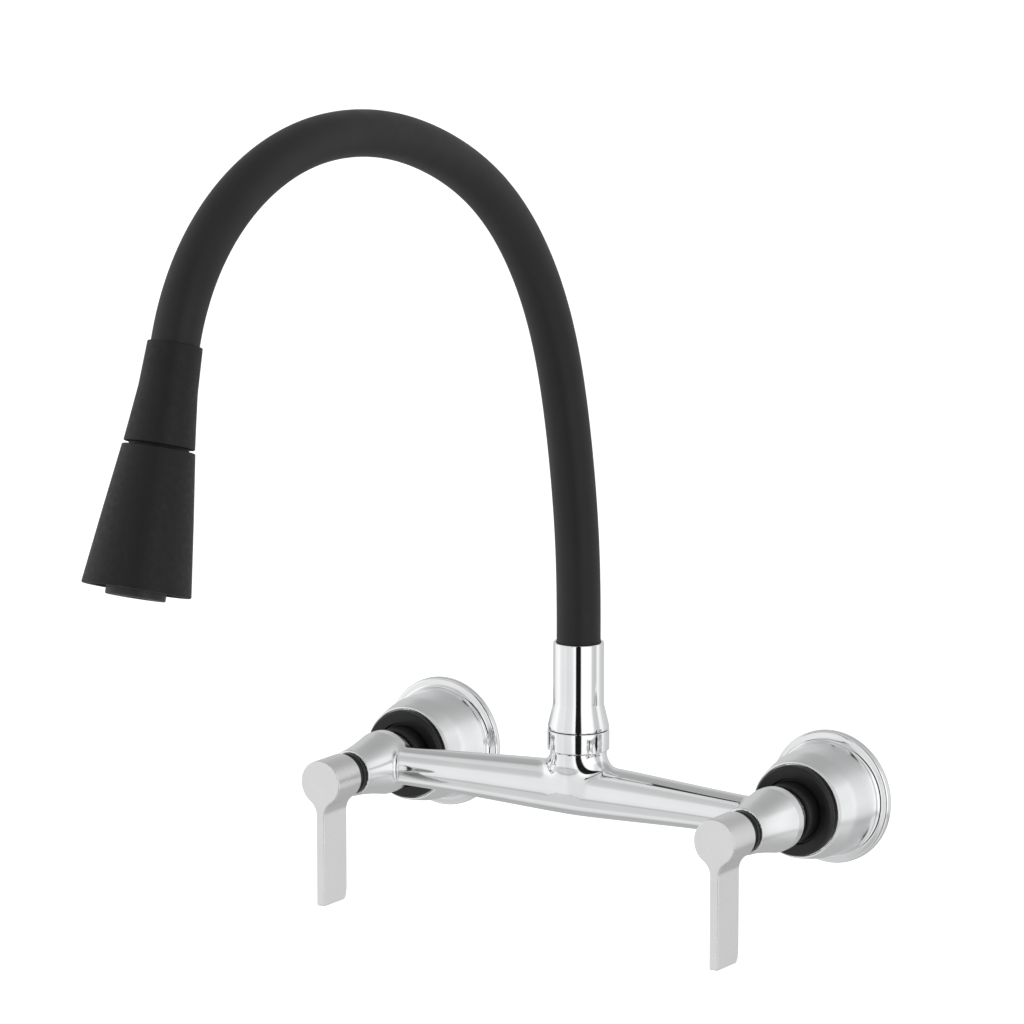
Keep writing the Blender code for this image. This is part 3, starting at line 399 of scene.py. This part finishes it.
RISER_AXIS = Matrix.Translation((0.0, -SPOUT_REACH * MM, 0.0))


def rounded(corners, steps=6):
    """Polyline through (radius, height, fillet) corners of a closed outline, fillets as arcs."""
    points = []
    count = len(corners)
    for index, (x, y, fillet) in enumerate(corners):
        here = Vector((x, y))
        before = Vector(corners[index - 1][:2]) - here
        after = Vector(corners[(index + 1) % count][:2]) - here
        if fillet <= 0.0 or before.length < 1e-9 or after.length < 1e-9:
            points.append((x, y))
            continue
        first, second = before.normalized(), after.normalized()
        half = math.acos(max(-1.0, min(1.0, first.dot(second)))) / 2.0
        if half > math.pi / 2 - 1e-3:
            points.append((x, y))
            continue
        back = min(fillet / math.tan(half), 0.49 * before.length, 0.49 * after.length)
        radius = back * math.tan(half)
        centre = here + (first + second).normalized() * (radius / math.sin(half))
        start, end = here + first * back - centre, here + second * back - centre
        sweep = start.angle_signed(end)
        for step in range(steps + 1):
            angle = -sweep * step / steps
            spoke = Vector((start.x * math.cos(angle) - start.y * math.sin(angle),
                            start.x * math.sin(angle) + start.y * math.cos(angle)))
            points.append(tuple(centre + spoke))
    return points


def mesh_from(name, vertices, faces, sharp_angle=40.0):
    """Smooth-shaded mesh with consistent outward faces."""
    shape = bmesh.new()
    made = [shape.verts.new(vertex) for vertex in vertices]
    for face in faces:
        shape.faces.new([made[index] for index in face])
    bmesh.ops.recalc_face_normals(shape, faces=shape.faces)
    mesh = bpy.data.meshes.new(name)
    shape.to_mesh(mesh)
    shape.free()
    mesh.shade_smooth()
    mesh.set_sharp_from_angle(angle=math.radians(sharp_angle))
    return mesh


def ring_faces(ring_count, sides, closed):
    """Quads between successive rings of vertices."""
    faces = []
    for ring in range(ring_count if closed else ring_count - 1):
        following = (ring + 1) % ring_count
        for side in range(sides):
            nearby = (side + 1) % sides
            faces.append((ring * sides + side, ring * sides + nearby,
                          following * sides + nearby, following * sides + side))
    return faces


def turned(name, outline, place, sides=128, sharp_angle=40.0):
    """Closed ring-shaped piece: an outline of (radius, height) points turned about place's Z."""
    vertices = []
    for radius, height in outline:
        for side in range(sides):
            angle = 2.0 * math.pi * side / sides
            vertices.append(place @ Vector((radius * MM * math.cos(angle),
                                            radius * MM * math.sin(angle), height * MM)))
    return mesh_from(name, vertices, ring_faces(len(outline), sides, True), sharp_angle)


def add_piece(name, mesh, slot_name, body, replaced=()):
    """Put a mesh in the scene as a piece, riding on a body when one is given."""
    mesh.materials.clear()
    mesh.materials.append(MATERIALS[slot_name])
    piece = bpy.data.objects.new(name, mesh)
    bpy.context.scene.collection.objects.link(piece)
    if body is not None:
        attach(piece, body)
    if replaced:
        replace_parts(piece, *replaced)
    return piece


# ---------------------------------------------------------------- inlets
def escutcheon_outline():
    """Rolled rim flowing through a cove into a deep cup that narrows to the front lip."""
    rim, lip = RIM_RADIUS, COLLAR_RADIUS + PIECE_GAP
    front = CUP_REACH
    return rounded([
        (rim - 3.2, 0.0, 0.3), (rim, 0.0, 0.8), (rim, 3.4, 1.6), (rim - 4.5, 4.0, 3.2),
        (24.6, 13.0, 8.0), (23.9, 22.0, 30.0), (21.9, front - 1.4, 8.0), (21.5, front, 0.5),
        (lip, front, 0.3), (lip, front - 2.0, 0.2), (lip + 0.3, front - 5.0, 1.0),
        (22.6, 20.0, 10.0), (23.1, 9.0, 4.0), (rim - 5.6, 4.2, 1.0), (rim - 3.2, 1.5, 0.4)], 8)


def make_inlets():
    """Escutcheons, collars, bonnet rings and the threaded unions behind the wall plane."""
    for side, sign in SIDES:
        place = outward_axis(sign * HALF_SPACING)
        add_piece("bell_escutcheon_" + side, turned("escutcheon", escutcheon_outline(), place, 192),
                  "bell_chrome", "mixer", ["escutcheon_" + side])

        flange_end = COLLAR_REAR + COLLAR_FLANGE
        groove_floor, seat = flange_end - 1.5, COLLAR_FRONT - 5.7
        collar = rounded([
            (COLLAR_BORE, COLLAR_REAR, 0.2), (COLLAR_RADIUS, COLLAR_REAR, 0.5),
            (COLLAR_RADIUS, flange_end - 1.3, 0.5), (COLLAR_RADIUS - 1.0, flange_end, 0.4),
            (COLLAR_GROOVE, flange_end, 0.35), (COLLAR_GROOVE, groove_floor, 0.3),
            (COLLAR_HUB, groove_floor, 0.3), (COLLAR_HUB, COLLAR_FRONT, 0.6),
            (COLLAR_SOCKET, COLLAR_FRONT, 0.3), (COLLAR_SOCKET, seat, 0.0), (COLLAR_BORE, seat, 0.0)])
        add_piece("spacer_collar_" + side, turned("collar", collar, place), "black_collar",
                  "mixer", ["collar_" + side])

        bonnet = rounded([
            (STEM_BORE + 0.05, BONNET_REAR, 0.0), (BONNET_RADIUS, BONNET_REAR, 0.25),
            (BONNET_RADIUS, BONNET_REAR + 1.9, 0.2), (BONNET_RADIUS - 0.5, BONNET_REAR + 2.2, 0.2),
            (BONNET_RADIUS - 0.5, BONNET_FRONT - 1.3, 0.2), (BONNET_RADIUS - 0.1, BONNET_FRONT - 1.0, 0.2),
            (BONNET_RADIUS - 0.1, BONNET_FRONT, 0.3), (STEM_BORE + 0.05, BONNET_FRONT, 0.0)], 4)
        add_piece("bonnet_" + side, turned("bonnet", bonnet, place, 96), "black_collar", "mixer",
                  ["bonnet_ring_" + side])
        add_piece("threaded_union_" + side, threaded_union(place), "brass", "mixer",
                  ["inlet_union_" + side])


def threaded_union(place):
    """Inlet union: helical thread behind the wall, flange, then a plain tube."""
    sides, pitch, depth = 64, 1.81, 0.95
    root, flange = 9.3, 12.1
    thread_start, thread_end = -NIPPLE_DEPTH, 0.9
    per_turn = 8
    vertices = []
    steps = int((thread_end - thread_start - 1.6) / pitch * per_turn)
    low = thread_start + 0.8
    heights = [low + pitch * step / per_turn for step in range(steps + 1)]
    outline = [("plain", UNION_BORE, thread_start), ("plain", 9.2, thread_start)]
    outline += [("thread", 0.0, height) for height in heights]
    outline += [("plain", root, 0.9), ("plain", root, 1.5), ("plain", flange - 0.4, 1.5),
                ("plain", flange, 1.9), ("plain", flange, 7.1), ("plain", flange - 0.4, 7.5),
                ("plain", UNION_TUBE, 7.5), ("plain", UNION_TUBE, UNION_END),
                ("plain", UNION_BORE, UNION_END)]
    for kind, radius, height in outline:
        for side in range(sides):
            angle = 2.0 * math.pi * side / sides
            spoke = radius
            if kind == "thread":
                phase = ((height - low) / pitch - side / sides) % 1.0
                fade = min(1.0, (height - low) / 1.0, (heights[-1] - height) / 1.0)
                crest = NIPPLE_RADIUS - depth * abs(2.0 * phase - 1.0)
                spoke = root + (crest - root) * max(0.0, fade)
            vertices.append(place @ Vector((spoke * MM * math.cos(angle),
                                            spoke * MM * math.sin(angle), height * MM)))
    return mesh_from("threaded_union", vertices, ring_faces(len(outline), sides, True), 30.0)


make_inlets()


# ---------------------------------------------------------------- levers
def lever_outline():
    """Hub circle flowing through concave fillets into a straight blade, in the lever's own plane."""
    half, fillet, radius = 2.15, 7.5, LEVER_RADIUS
    hub_steps, fillet_steps = 72, 14
    centre_x = half + fillet
    centre_y = -math.sqrt((radius + fillet) ** 2 - centre_x ** 2)
    touch = math.atan2(centre_y, centre_x)
    points = []
    for step in range(hub_steps + 1):
        angle = touch + (math.pi - 2.0 * touch) * step / hub_steps
        points.append((radius * math.cos(angle), radius * math.sin(angle)))
    side = []
    for step in range(1, fillet_steps + 1):
        angle = -touch * (1.0 - step / fillet_steps)
        side.append((-centre_x + fillet * math.cos(angle), centre_y + fillet * math.sin(angle)))
    tip = [(-half, LEVER_LOW + 0.5), (-half + 0.15, LEVER_LOW + 0.15), (-half + 0.5, LEVER_LOW)]
    points += side + tip
    points += [(-x, y) for x, y in reversed(side + tip)]
    return points


def make_levers():
    """Satin levers with softened edges, each open for its stem and its set screw."""
    tip_round, edge_round = 2.6, 0.55
    for side, sign in SIDES:
        place = outward_axis(sign * HALF_SPACING)
        shape = bmesh.new()
        base = [shape.verts.new((x * MM, y * MM, LEVER_REAR * MM)) for x, y in lever_outline()]
        bottom = shape.faces.new(base)
        grown = bmesh.ops.extrude_face_region(shape, geom=[bottom])
        for item in grown["geom"]:
            if isinstance(item, bmesh.types.BMVert):
                item.co.z = LEVER_FRONT * MM
        tip_edges = [edge for edge in shape.edges
                     if all(vertex.co.y < (LEVER_LOW + 0.6) * MM for vertex in edge.verts)
                     and all(abs(vertex.co.z - LEVER_REAR * MM) < 1e-6 for vertex in edge.verts)]
        bmesh.ops.bevel(shape, geom=tip_edges, offset=tip_round * MM, segments=8, profile=0.5,
                        affect="EDGES")
        bmesh.ops.recalc_face_normals(shape, faces=shape.faces)
        rim = [edge for edge in shape.edges
               if len(edge.link_faces) == 2 and edge.calc_face_angle(0.0) > math.radians(50)]
        bmesh.ops.bevel(shape, geom=rim, offset=edge_round * MM, segments=4, profile=0.5, affect="EDGES")
        mesh = bpy.data.meshes.new("lever")
        shape.to_mesh(mesh)
        shape.free()
        mesh.transform(place)
        lever = add_piece("lever_" + side, mesh, "satin_chrome", None, ["handle_" + side])
        cut_bores(lever, place)
        lever.data.shade_smooth()
        lever.data.set_sharp_from_angle(angle=math.radians(45))
        weigh = lever.modifiers.new("weigh", "WEIGHTED_NORMAL")
        weigh.keep_sharp = True
        weigh.weight = 100
        freeze(lever)
        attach(lever, side + "_lever")


def cut_bores(lever, place):
    """Open the stem bore at the back and the set-screw hole in the hub's side."""
    screw_reach = -0.5 * sum(extent("handle_screw_left", 1))
    stem = solid_cylinder("stem_bore", STEM_BORE, LEVER_REAR - 2.0, LEVER_REAR + 12.6, place)
    across = place @ Matrix.Translation((0, 0, screw_reach * MM)) @ Matrix.Rotation(-math.pi / 2, 4, "Y")
    screw = solid_cylinder("screw_bore", 2.3, 0.5, 14.0, across)
    for cutter in (stem, screw):
        apply_boolean(lever, cutter)


def solid_cylinder(name, radius, low, high, place):
    """Plain closed cylinder used as a cutting tool."""
    sides = 48
    vertices = [place @ Vector((radius * MM * math.cos(2 * math.pi * side / sides),
                                radius * MM * math.sin(2 * math.pi * side / sides), height * MM))
                for height in (low, high) for side in range(sides)]
    faces = ring_faces(2, sides, False) + [tuple(range(sides)), tuple(range(sides, 2 * sides))]
    tool = bpy.data.objects.new(name, mesh_from(name, vertices, faces))
    bpy.context.scene.collection.objects.link(tool)
    return tool


def apply_boolean(target, tool):
    """Cut tool from target, keep the result in target's mesh and delete the tool."""
    cut = target.modifiers.new("cut", "BOOLEAN")
    cut.object = tool
    cut.operation = "DIFFERENCE"
    freeze(target)
    bpy.data.objects.remove(tool, do_unlink=True)


def freeze(target):
    """Keep the result of target's modifiers in its mesh."""
    bpy.context.view_layer.update()
    evaluated = target.evaluated_get(bpy.context.evaluated_depsgraph_get())
    mesh = bpy.data.meshes.new_from_object(evaluated)
    target.modifiers.clear()
    target.data = mesh


make_levers()


# ---------------------------------------------------------------- riser
def make_riser():
    """Nut band and bell ferrule, mirror polished."""
    thread, lip_base = NECK_RADIUS + PIECE_GAP, NUT_HIGH - 2.3
    nut = rounded([
        (thread, NUT_LOW, 0.1), (NUT_RADIUS, NUT_LOW, 0.45), (NUT_RADIUS, NUT_HIGH, 0.45),
        (RISER_BORE, NUT_HIGH, 0.1), (RISER_BORE, lip_base, 0.0), (thread, lip_base, 0.0)])
    add_piece("nut_band", turned("nut", nut, RISER_AXIS, 192), "polished_chrome", "mixer", ["swivel_nut"])
    hose_hole, seat = HOSE_RADIUS + 0.25, FERRULE_HIGH - FERRULE_SOCKET
    ferrule = rounded([
        (RISER_BORE, FERRULE_LOW, 0.1), (NUT_RADIUS - 0.1, FERRULE_LOW, 0.4),
        (NUT_RADIUS - 0.2, FERRULE_LOW + 1.6, 2.5), (FERRULE_NECK + 0.05, FERRULE_LOW + 11.1, 9.0),
        (FERRULE_NECK, FERRULE_HIGH, 0.5), (hose_hole, FERRULE_HIGH, 0.3),
        (hose_hole, seat, 0.0), (RISER_BORE, seat, 0.0)], 10)
    add_piece("bell_ferrule", turned("ferrule", ferrule, RISER_AXIS, 192), "polished_chrome",
              "hose_1", ["hose_ferrule"])


make_riser()


# ---------------------------------------------------------------- mixer body
VOXEL = 0.75                          # size of the fine mesh's cells, mm
BOSS_FILLET, BARREL_FILLET = 7.5, 2.0
DRAWING_STEPS, LONGEST_MOVE = 5, 0.8  # how the fine mesh is drawn onto the shape, mm a step


def polygon_distance(points, outline):
    """Signed distance in the plane from points to a closed outline, negative inside."""
    nearest = np.full(len(points), 1e12)
    crossings = np.zeros(len(points), bool)
    for start, end in zip(outline, np.roll(outline, -1, axis=0)):
        edge = end - start
        length = edge @ edge
        if length < 1e-12:
            continue
        offset = points - start
        along = np.clip((offset @ edge) / length, 0.0, 1.0)
        gap = offset - along[:, None] * edge
        nearest = np.minimum(nearest, np.einsum("ij,ij->i", gap, gap))
        spans = (start[1] > points[:, 1]) != (end[1] > points[:, 1])
        if abs(edge[1]) > 1e-12:
            crossing = start[0] + (points[:, 1] - start[1]) / edge[1] * edge[0]
            crossings ^= spans & (points[:, 0] < crossing)
    return np.where(crossings, -1.0, 1.0) * np.sqrt(nearest)


def fillet_union(first, second, size):
    """Union of two distances with a soft fillet between them."""
    share = np.clip(0.5 + 0.5 * (second - first) / size, 0.0, 1.0)
    return second + (first - second) * share - size * share * (1.0 - share)


def barrel_profile():
    """Barrel's half section: narrow tail, crisp rear shoulder, trumpet taper to the front."""
    shoulder = BARREL_REAR_REACH + 0.2
    corners = [(0.0, BARREL_TAIL_REACH, 0.0), (BARREL_TAIL, BARREL_TAIL_REACH, 0.3),
               (BARREL_TAIL, shoulder, 0.6), (BARREL_RADIUS, shoulder, 1.0)]
    start, steps = BARREL_REAR_REACH + 5.5, 12
    for step in range(steps + 1):
        share = step / steps
        radius = BARREL_FRONT + (BARREL_RADIUS - BARREL_FRONT) * (1.0 - share) ** 1.5
        front_edge = 0.5 if step == steps else 0.0
        corners.append((radius, start + (BARREL_REACH - start) * share, front_edge))
    corners.append((0.0, BARREL_REACH, 0.0))
    return np.array(rounded(corners, 6))


def ease(share):
    """Smooth step from 0 to 1."""
    return share * share * (3.0 - 2.0 * share)


def body_distance(points):
    """Signed distance to the casting, in millimetres, the same on its left and right halves."""
    x, reach, height = np.abs(points[:, 0]), -points[:, 1], points[:, 2]
    from_riser = np.hypot(x, reach - SPOUT_REACH)
    from_axis = np.hypot(x - HALF_SPACING, height)

    share = np.clip(x / HALF_SPACING, 0.0, 1.0)
    arm_radius = ARM_MIDDLE + (ARM_END - ARM_MIDDLE) * ease(share) ** 0.8
    arm_reach = SPOUT_REACH + ARM_SWEEP * share ** 1.7
    arm = np.maximum(np.hypot(reach - arm_reach, height) - arm_radius, x - HALF_SPACING)
    boss_foot = 3.0
    # The boss is 3 mm slimmer at 5 mm above the arm's axis, and full from 13 mm up.
    waist = 3.0 * ease(np.clip((13.0 - height) / 8.0, 0.0, 1.0))
    boss = np.maximum(from_riser - (BOSS_RADIUS - waist),
                      np.maximum(height - BOSS_HEIGHT, boss_foot - height))
    neck = np.maximum(from_riser - NECK_RADIUS, np.maximum(height - NECK_HEIGHT, boss_foot - height))
    casting = np.minimum(fillet_union(arm, boss, BOSS_FILLET), neck)
    top = np.where(from_riser < NECK_RADIUS, NECK_HEIGHT, BOSS_HEIGHT)
    casting = np.maximum(casting, height - top)
    barrel = polygon_distance(np.stack([from_axis, reach], axis=1), BARREL)
    casting = fillet_union(casting, barrel, BARREL_FILLET)

    cavity = np.maximum(from_axis - CAVITY_RADIUS, CAVITY_REACH - reach)
    inlet = np.maximum(from_axis - WATERWAY, reach - (CAVITY_REACH + 0.5))
    cross = np.hypot(reach - (SPOUT_REACH + 0.75 * ARM_SWEEP), height) - WATERWAY
    cross = np.maximum(cross, x - HALF_SPACING)
    riser = np.minimum(np.maximum(from_riser - RISER_BORE, WATERWAY - 0.6 - height),
                       np.maximum(from_riser - WATERWAY, -height))
    hollow = np.minimum(np.minimum(cavity, inlet), np.minimum(cross, riser))
    return np.maximum(casting, -hollow)


def distance_slope(points, step=0.05):
    """Unit direction in which the distance grows."""
    slope = np.stack([body_distance(points + offset) - body_distance(points - offset)
                      for offset in np.eye(3) * step], axis=1)
    return slope / np.maximum(np.linalg.norm(slope, axis=1, keepdims=True), 1e-9)


def make_body():
    """Casting: the CAD body remeshed finely, then drawn onto a filleted version of its shape."""
    source = bpy.data.objects.new("casting_source", NODES["mixer_body"].data.copy())
    bpy.context.scene.collection.objects.link(source)
    remesh = source.modifiers.new("remesh", "REMESH")
    remesh.mode = "VOXEL"
    remesh.voxel_size = VOXEL * MM
    bpy.context.view_layer.update()
    fine = bpy.data.meshes.new_from_object(source.evaluated_get(bpy.context.evaluated_depsgraph_get()))
    bpy.data.objects.remove(source, do_unlink=True)
    count = len(fine.vertices)
    flat = np.zeros(count * 3, np.float32)
    fine.vertices.foreach_get("co", flat)
    points = flat.reshape(-1, 3).astype(float) / MM
    for _ in range(DRAWING_STEPS):
        move = np.clip(body_distance(points), -LONGEST_MOVE, LONGEST_MOVE)
        points -= move[:, None] * distance_slope(points)
    fine.vertices.foreach_set("co", (points * MM).astype(np.float32).ravel())
    fine.update()
    fine.shade_smooth()
    fine.normals_split_custom_set_from_vertices(distance_slope(points).tolist())
    add_piece("bridge_casting", fine, "casting_chrome", "mixer", ["mixer_body"])


BARREL = barrel_profile()
make_body()


# ---------------------------------------------------------------- hose
# Direction of the hose at equally spaced stations, degrees from straight up towards the room.
HEADINGS = (0.0, 7.5, 16.5, 37.0, 60.5, 77.5, 97.0, 124.5, 163.5)
LINKS = len(HEADINGS) - 1
LINK_LENGTH = HOSE_LENGTH / LINKS
STEPS = 40                            # straight steps along each link
FOOT, TOE = 21.8, 12.5                # held inside the ferrule and the spray head


def heading_at(position):
    """Heading in radians, from straight up towards the room, at a position counted in links."""
    index = min(int(position), LINKS - 1)
    fraction = position - index

    def slope(station):
        if station == 0:
            return 0.0
        if station == LINKS:
            return HEADINGS[LINKS] - HEADINGS[LINKS - 1]
        return (HEADINGS[station + 1] - HEADINGS[station - 1]) / 2.0

    square, cube = fraction ** 2, fraction ** 3
    return math.radians((2 * cube - 3 * square + 1) * HEADINGS[index]
                        + (cube - 2 * square + fraction) * slope(index)
                        + (3 * square - 2 * cube) * HEADINGS[index + 1]
                        + (cube - square) * slope(index + 1))


def walk_hose():
    """Points (reach, height) at every step along the exposed hose."""
    points = [(SPOUT_REACH, FERRULE_HIGH)]
    for index in range(LINKS * STEPS):
        heading = heading_at((index + 0.5) / STEPS)
        reach, height = points[-1]
        points.append((reach + LINK_LENGTH / STEPS * math.sin(heading),
                       height + LINK_LENGTH / STEPS * math.cos(heading)))
    return points


HOSE_POINTS = walk_hose()


def hose_place(position):
    """Matrix on the hose's centreline at a position counted in links, local Z along the hose."""
    inside = min(max(position, 0.0), float(LINKS))
    step = inside * STEPS
    index = min(int(step), len(HOSE_POINTS) - 2)
    low, high = HOSE_POINTS[index], HOSE_POINTS[index + 1]
    reach = low[0] + (high[0] - low[0]) * (step - index)
    height = low[1] + (high[1] - low[1]) * (step - index)
    turn = Matrix.Rotation(heading_at(inside), 4, "X")
    place = Matrix.Translation((0.0, -reach * MM, height * MM)) @ turn
    return place @ Matrix.Translation((0.0, 0.0, (position - inside) * LINK_LENGTH * MM))


def make_hose():
    """Silicone sleeve in seven pieces, each shaped along the hose's curve across its own hinge."""
    sides, rings_per_link = 72, 30
    for number in range(1, LINKS):
        start = number - 0.5 if number > 1 else -FOOT / LINK_LENGTH
        end = number + 0.5 if number < LINKS - 1 else LINKS + TOE / LINK_LENGTH
        count = int((end - start) * rings_per_link)
        positions = [start + (end - start) * index / count for index in range(count + 1)]
        vertices = []
        for radius, order in ((HOSE_RADIUS, positions), (SLEEVE_BORE, positions[::-1])):
            for position in order:
                place = hose_place(position)
                for side in range(sides):
                    angle = 2.0 * math.pi * side / sides
                    vertices.append(place @ Vector((radius * MM * math.cos(angle),
                                                    radius * MM * math.sin(angle), 0.0)))
        mesh = mesh_from("sleeve", vertices, ring_faces(2 * len(positions), sides, True))
        stood_for = ["sleeve_%d" % number] + (["sleeve_%d" % LINKS] if number == LINKS - 1 else [])
        piece = add_piece("hose_sleeve_%d" % number, mesh, "black_silicone", None, stood_for)
        hose_place(number - 0.4).translation
        hose_place(number + 0.4).translation
        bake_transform(piece)


make_hose()


# ---------------------------------------------------------------- spray head
SHELL_LENGTH, CONE_DROP, CONE_END = 40.3, 41.5, 97.9
NECK_DROP, FEED_LOW = 33.6, 40.2
NOZZLES, NOZZLE_RING = 18, 16.3       # how many, and the radius of their circle


def make_head():
    """Grip shell, selector cone and spray plate with its nozzles and aerator."""
    axis = hose_place(float(LINKS))
    shell = rounded([
        (HOSE_RADIUS + 0.25, 0.0, 0.3), (11.0, 0.0, 0.6), (11.8, 18.0, 40.0), (13.2, 31.0, 40.0),
        (14.25, SHELL_LENGTH, 0.5), (12.4, SHELL_LENGTH, 0.1), (12.4, NECK_DROP - 1.0, 0.0),
        (10.6, NECK_DROP - 2.6, 0.0), (10.6, 16.3, 0.0), (8.3, 16.3, 0.0), (8.3, 13.0, 0.0),
        (HOSE_RADIUS + 0.25, 13.0, 0.0)], 8)
    add_piece("grip_shell", turned("shell", shell, axis, 144), "black_shell", "hose_8", ["head_shell"])

    middle = 0.5 * (CONE_DROP + CONE_END)
    cone = rounded([
        (7.3, NECK_DROP, 0.0), (12.0, NECK_DROP, 0.3), (12.0, CONE_DROP, 0.3), (14.55, CONE_DROP, 0.5),
        (18.3, middle, 200.0), (21.86, CONE_END, 0.7), (19.46, CONE_END, 0.4), (15.8, middle, 0.0),
        (12.9, 47.1, 0.0), (4.6, 43.2, 0.0), (4.6, FEED_LOW, 0.0), (7.3, FEED_LOW, 0.0)], 8)
    add_piece("cone_shell", turned("cone", cone, axis, 144), "black_shell", "selector", ["selector_cone"])

    plate = rounded([
        (2.8, 40.5, 0.0), (4.3, 40.5, 0.0), (4.3, 91.4, 0.5), (18.4, 91.4, 0.2), (18.4, 95.4, 0.4),
        (14.2, 95.4, 0.6), (12.0, 96.0, 0.6), (12.0, 100.7, 0.5), (6.3, 100.7, 0.3), (6.3, 93.0, 0.0),
        (2.8, 92.4, 0.0)], 6)
    add_piece("nozzle_plate", turned("plate", plate, axis, 128), "black_nozzle", "selector",
              ["spray_plate"])
    for index in range(NOZZLES):
        angle = 2.0 * math.pi * (index + 0.5) / NOZZLES
        nub = rounded([(0.35, 95.0, 0.0), (1.15, 95.0, 0.0), (0.85, 96.9, 0.3), (0.35, 96.9, 0.1)], 4)
        offset = Matrix.Translation((NOZZLE_RING * MM * math.cos(angle),
                                     NOZZLE_RING * MM * math.sin(angle), 0.0))
        add_piece("spray_nozzle_%02d" % (index + 1), turned("nub", nub, axis @ offset, 20),
                  "black_nozzle", "selector")
    ring = rounded([(3.8, 93.3, 0.0), (6.0, 93.3, 0.0), (6.0, 100.3, 0.5), (5.2, 100.3, 0.2),
                    (4.7, 98.9, 0.3), (3.8, 98.9, 0.0)], 5)
    add_piece("aerator_ring", turned("ring", ring, axis, 96), "aerator_plastic", "selector", ["aerator"])
    add_piece("aerator_screen", screen_mesh(axis), "aerator_plastic", "selector")


def screen_mesh(axis):
    """Round screen of square cells that fills the aerator's ring."""
    shape = bmesh.new()
    radius, pitch, width, low, high = 4.0, 1.15, 0.3, 96.6, 98.4
    box = ((0, 1, 3, 2), (4, 6, 7, 5), (0, 4, 5, 1), (2, 3, 7, 6), (0, 2, 6, 4), (1, 5, 7, 3))
    for turn in (0.0, math.pi / 2):
        spin = axis @ Matrix.Rotation(turn, 4, "Z")
        for index in range(-3, 4):
            offset = index * pitch
            half = math.sqrt(radius ** 2 - offset ** 2)
            corners = [spin @ Vector((x * MM, y * MM, z * MM))
                       for x in (offset - width / 2, offset + width / 2)
                       for y in (-half, half) for z in (low, high)]
            verts = [shape.verts.new(corner) for corner in corners]
            for face in box:
                shape.faces.new([verts[corner] for corner in face])
    bmesh.ops.recalc_face_normals(shape, faces=shape.faces)
    mesh = bpy.data.meshes.new("screen")
    shape.to_mesh(mesh)
    shape.free()
    return mesh


make_head()


# ---------------------------------------------------------------- pieces carried from the CAD
def dress_carried():
    """Give every CAD node still shown its own detailed material."""
    stood_for = {name for piece in bpy.data.objects for name in piece.get("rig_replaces", [])}
    for name, carried in NODES.items():
        if name in stood_for:
            continue
        slot_name = carried.data.materials[0].name.split(".")[0]
        carried.data.materials[0] = MATERIALS[slot_name]


dress_carried()
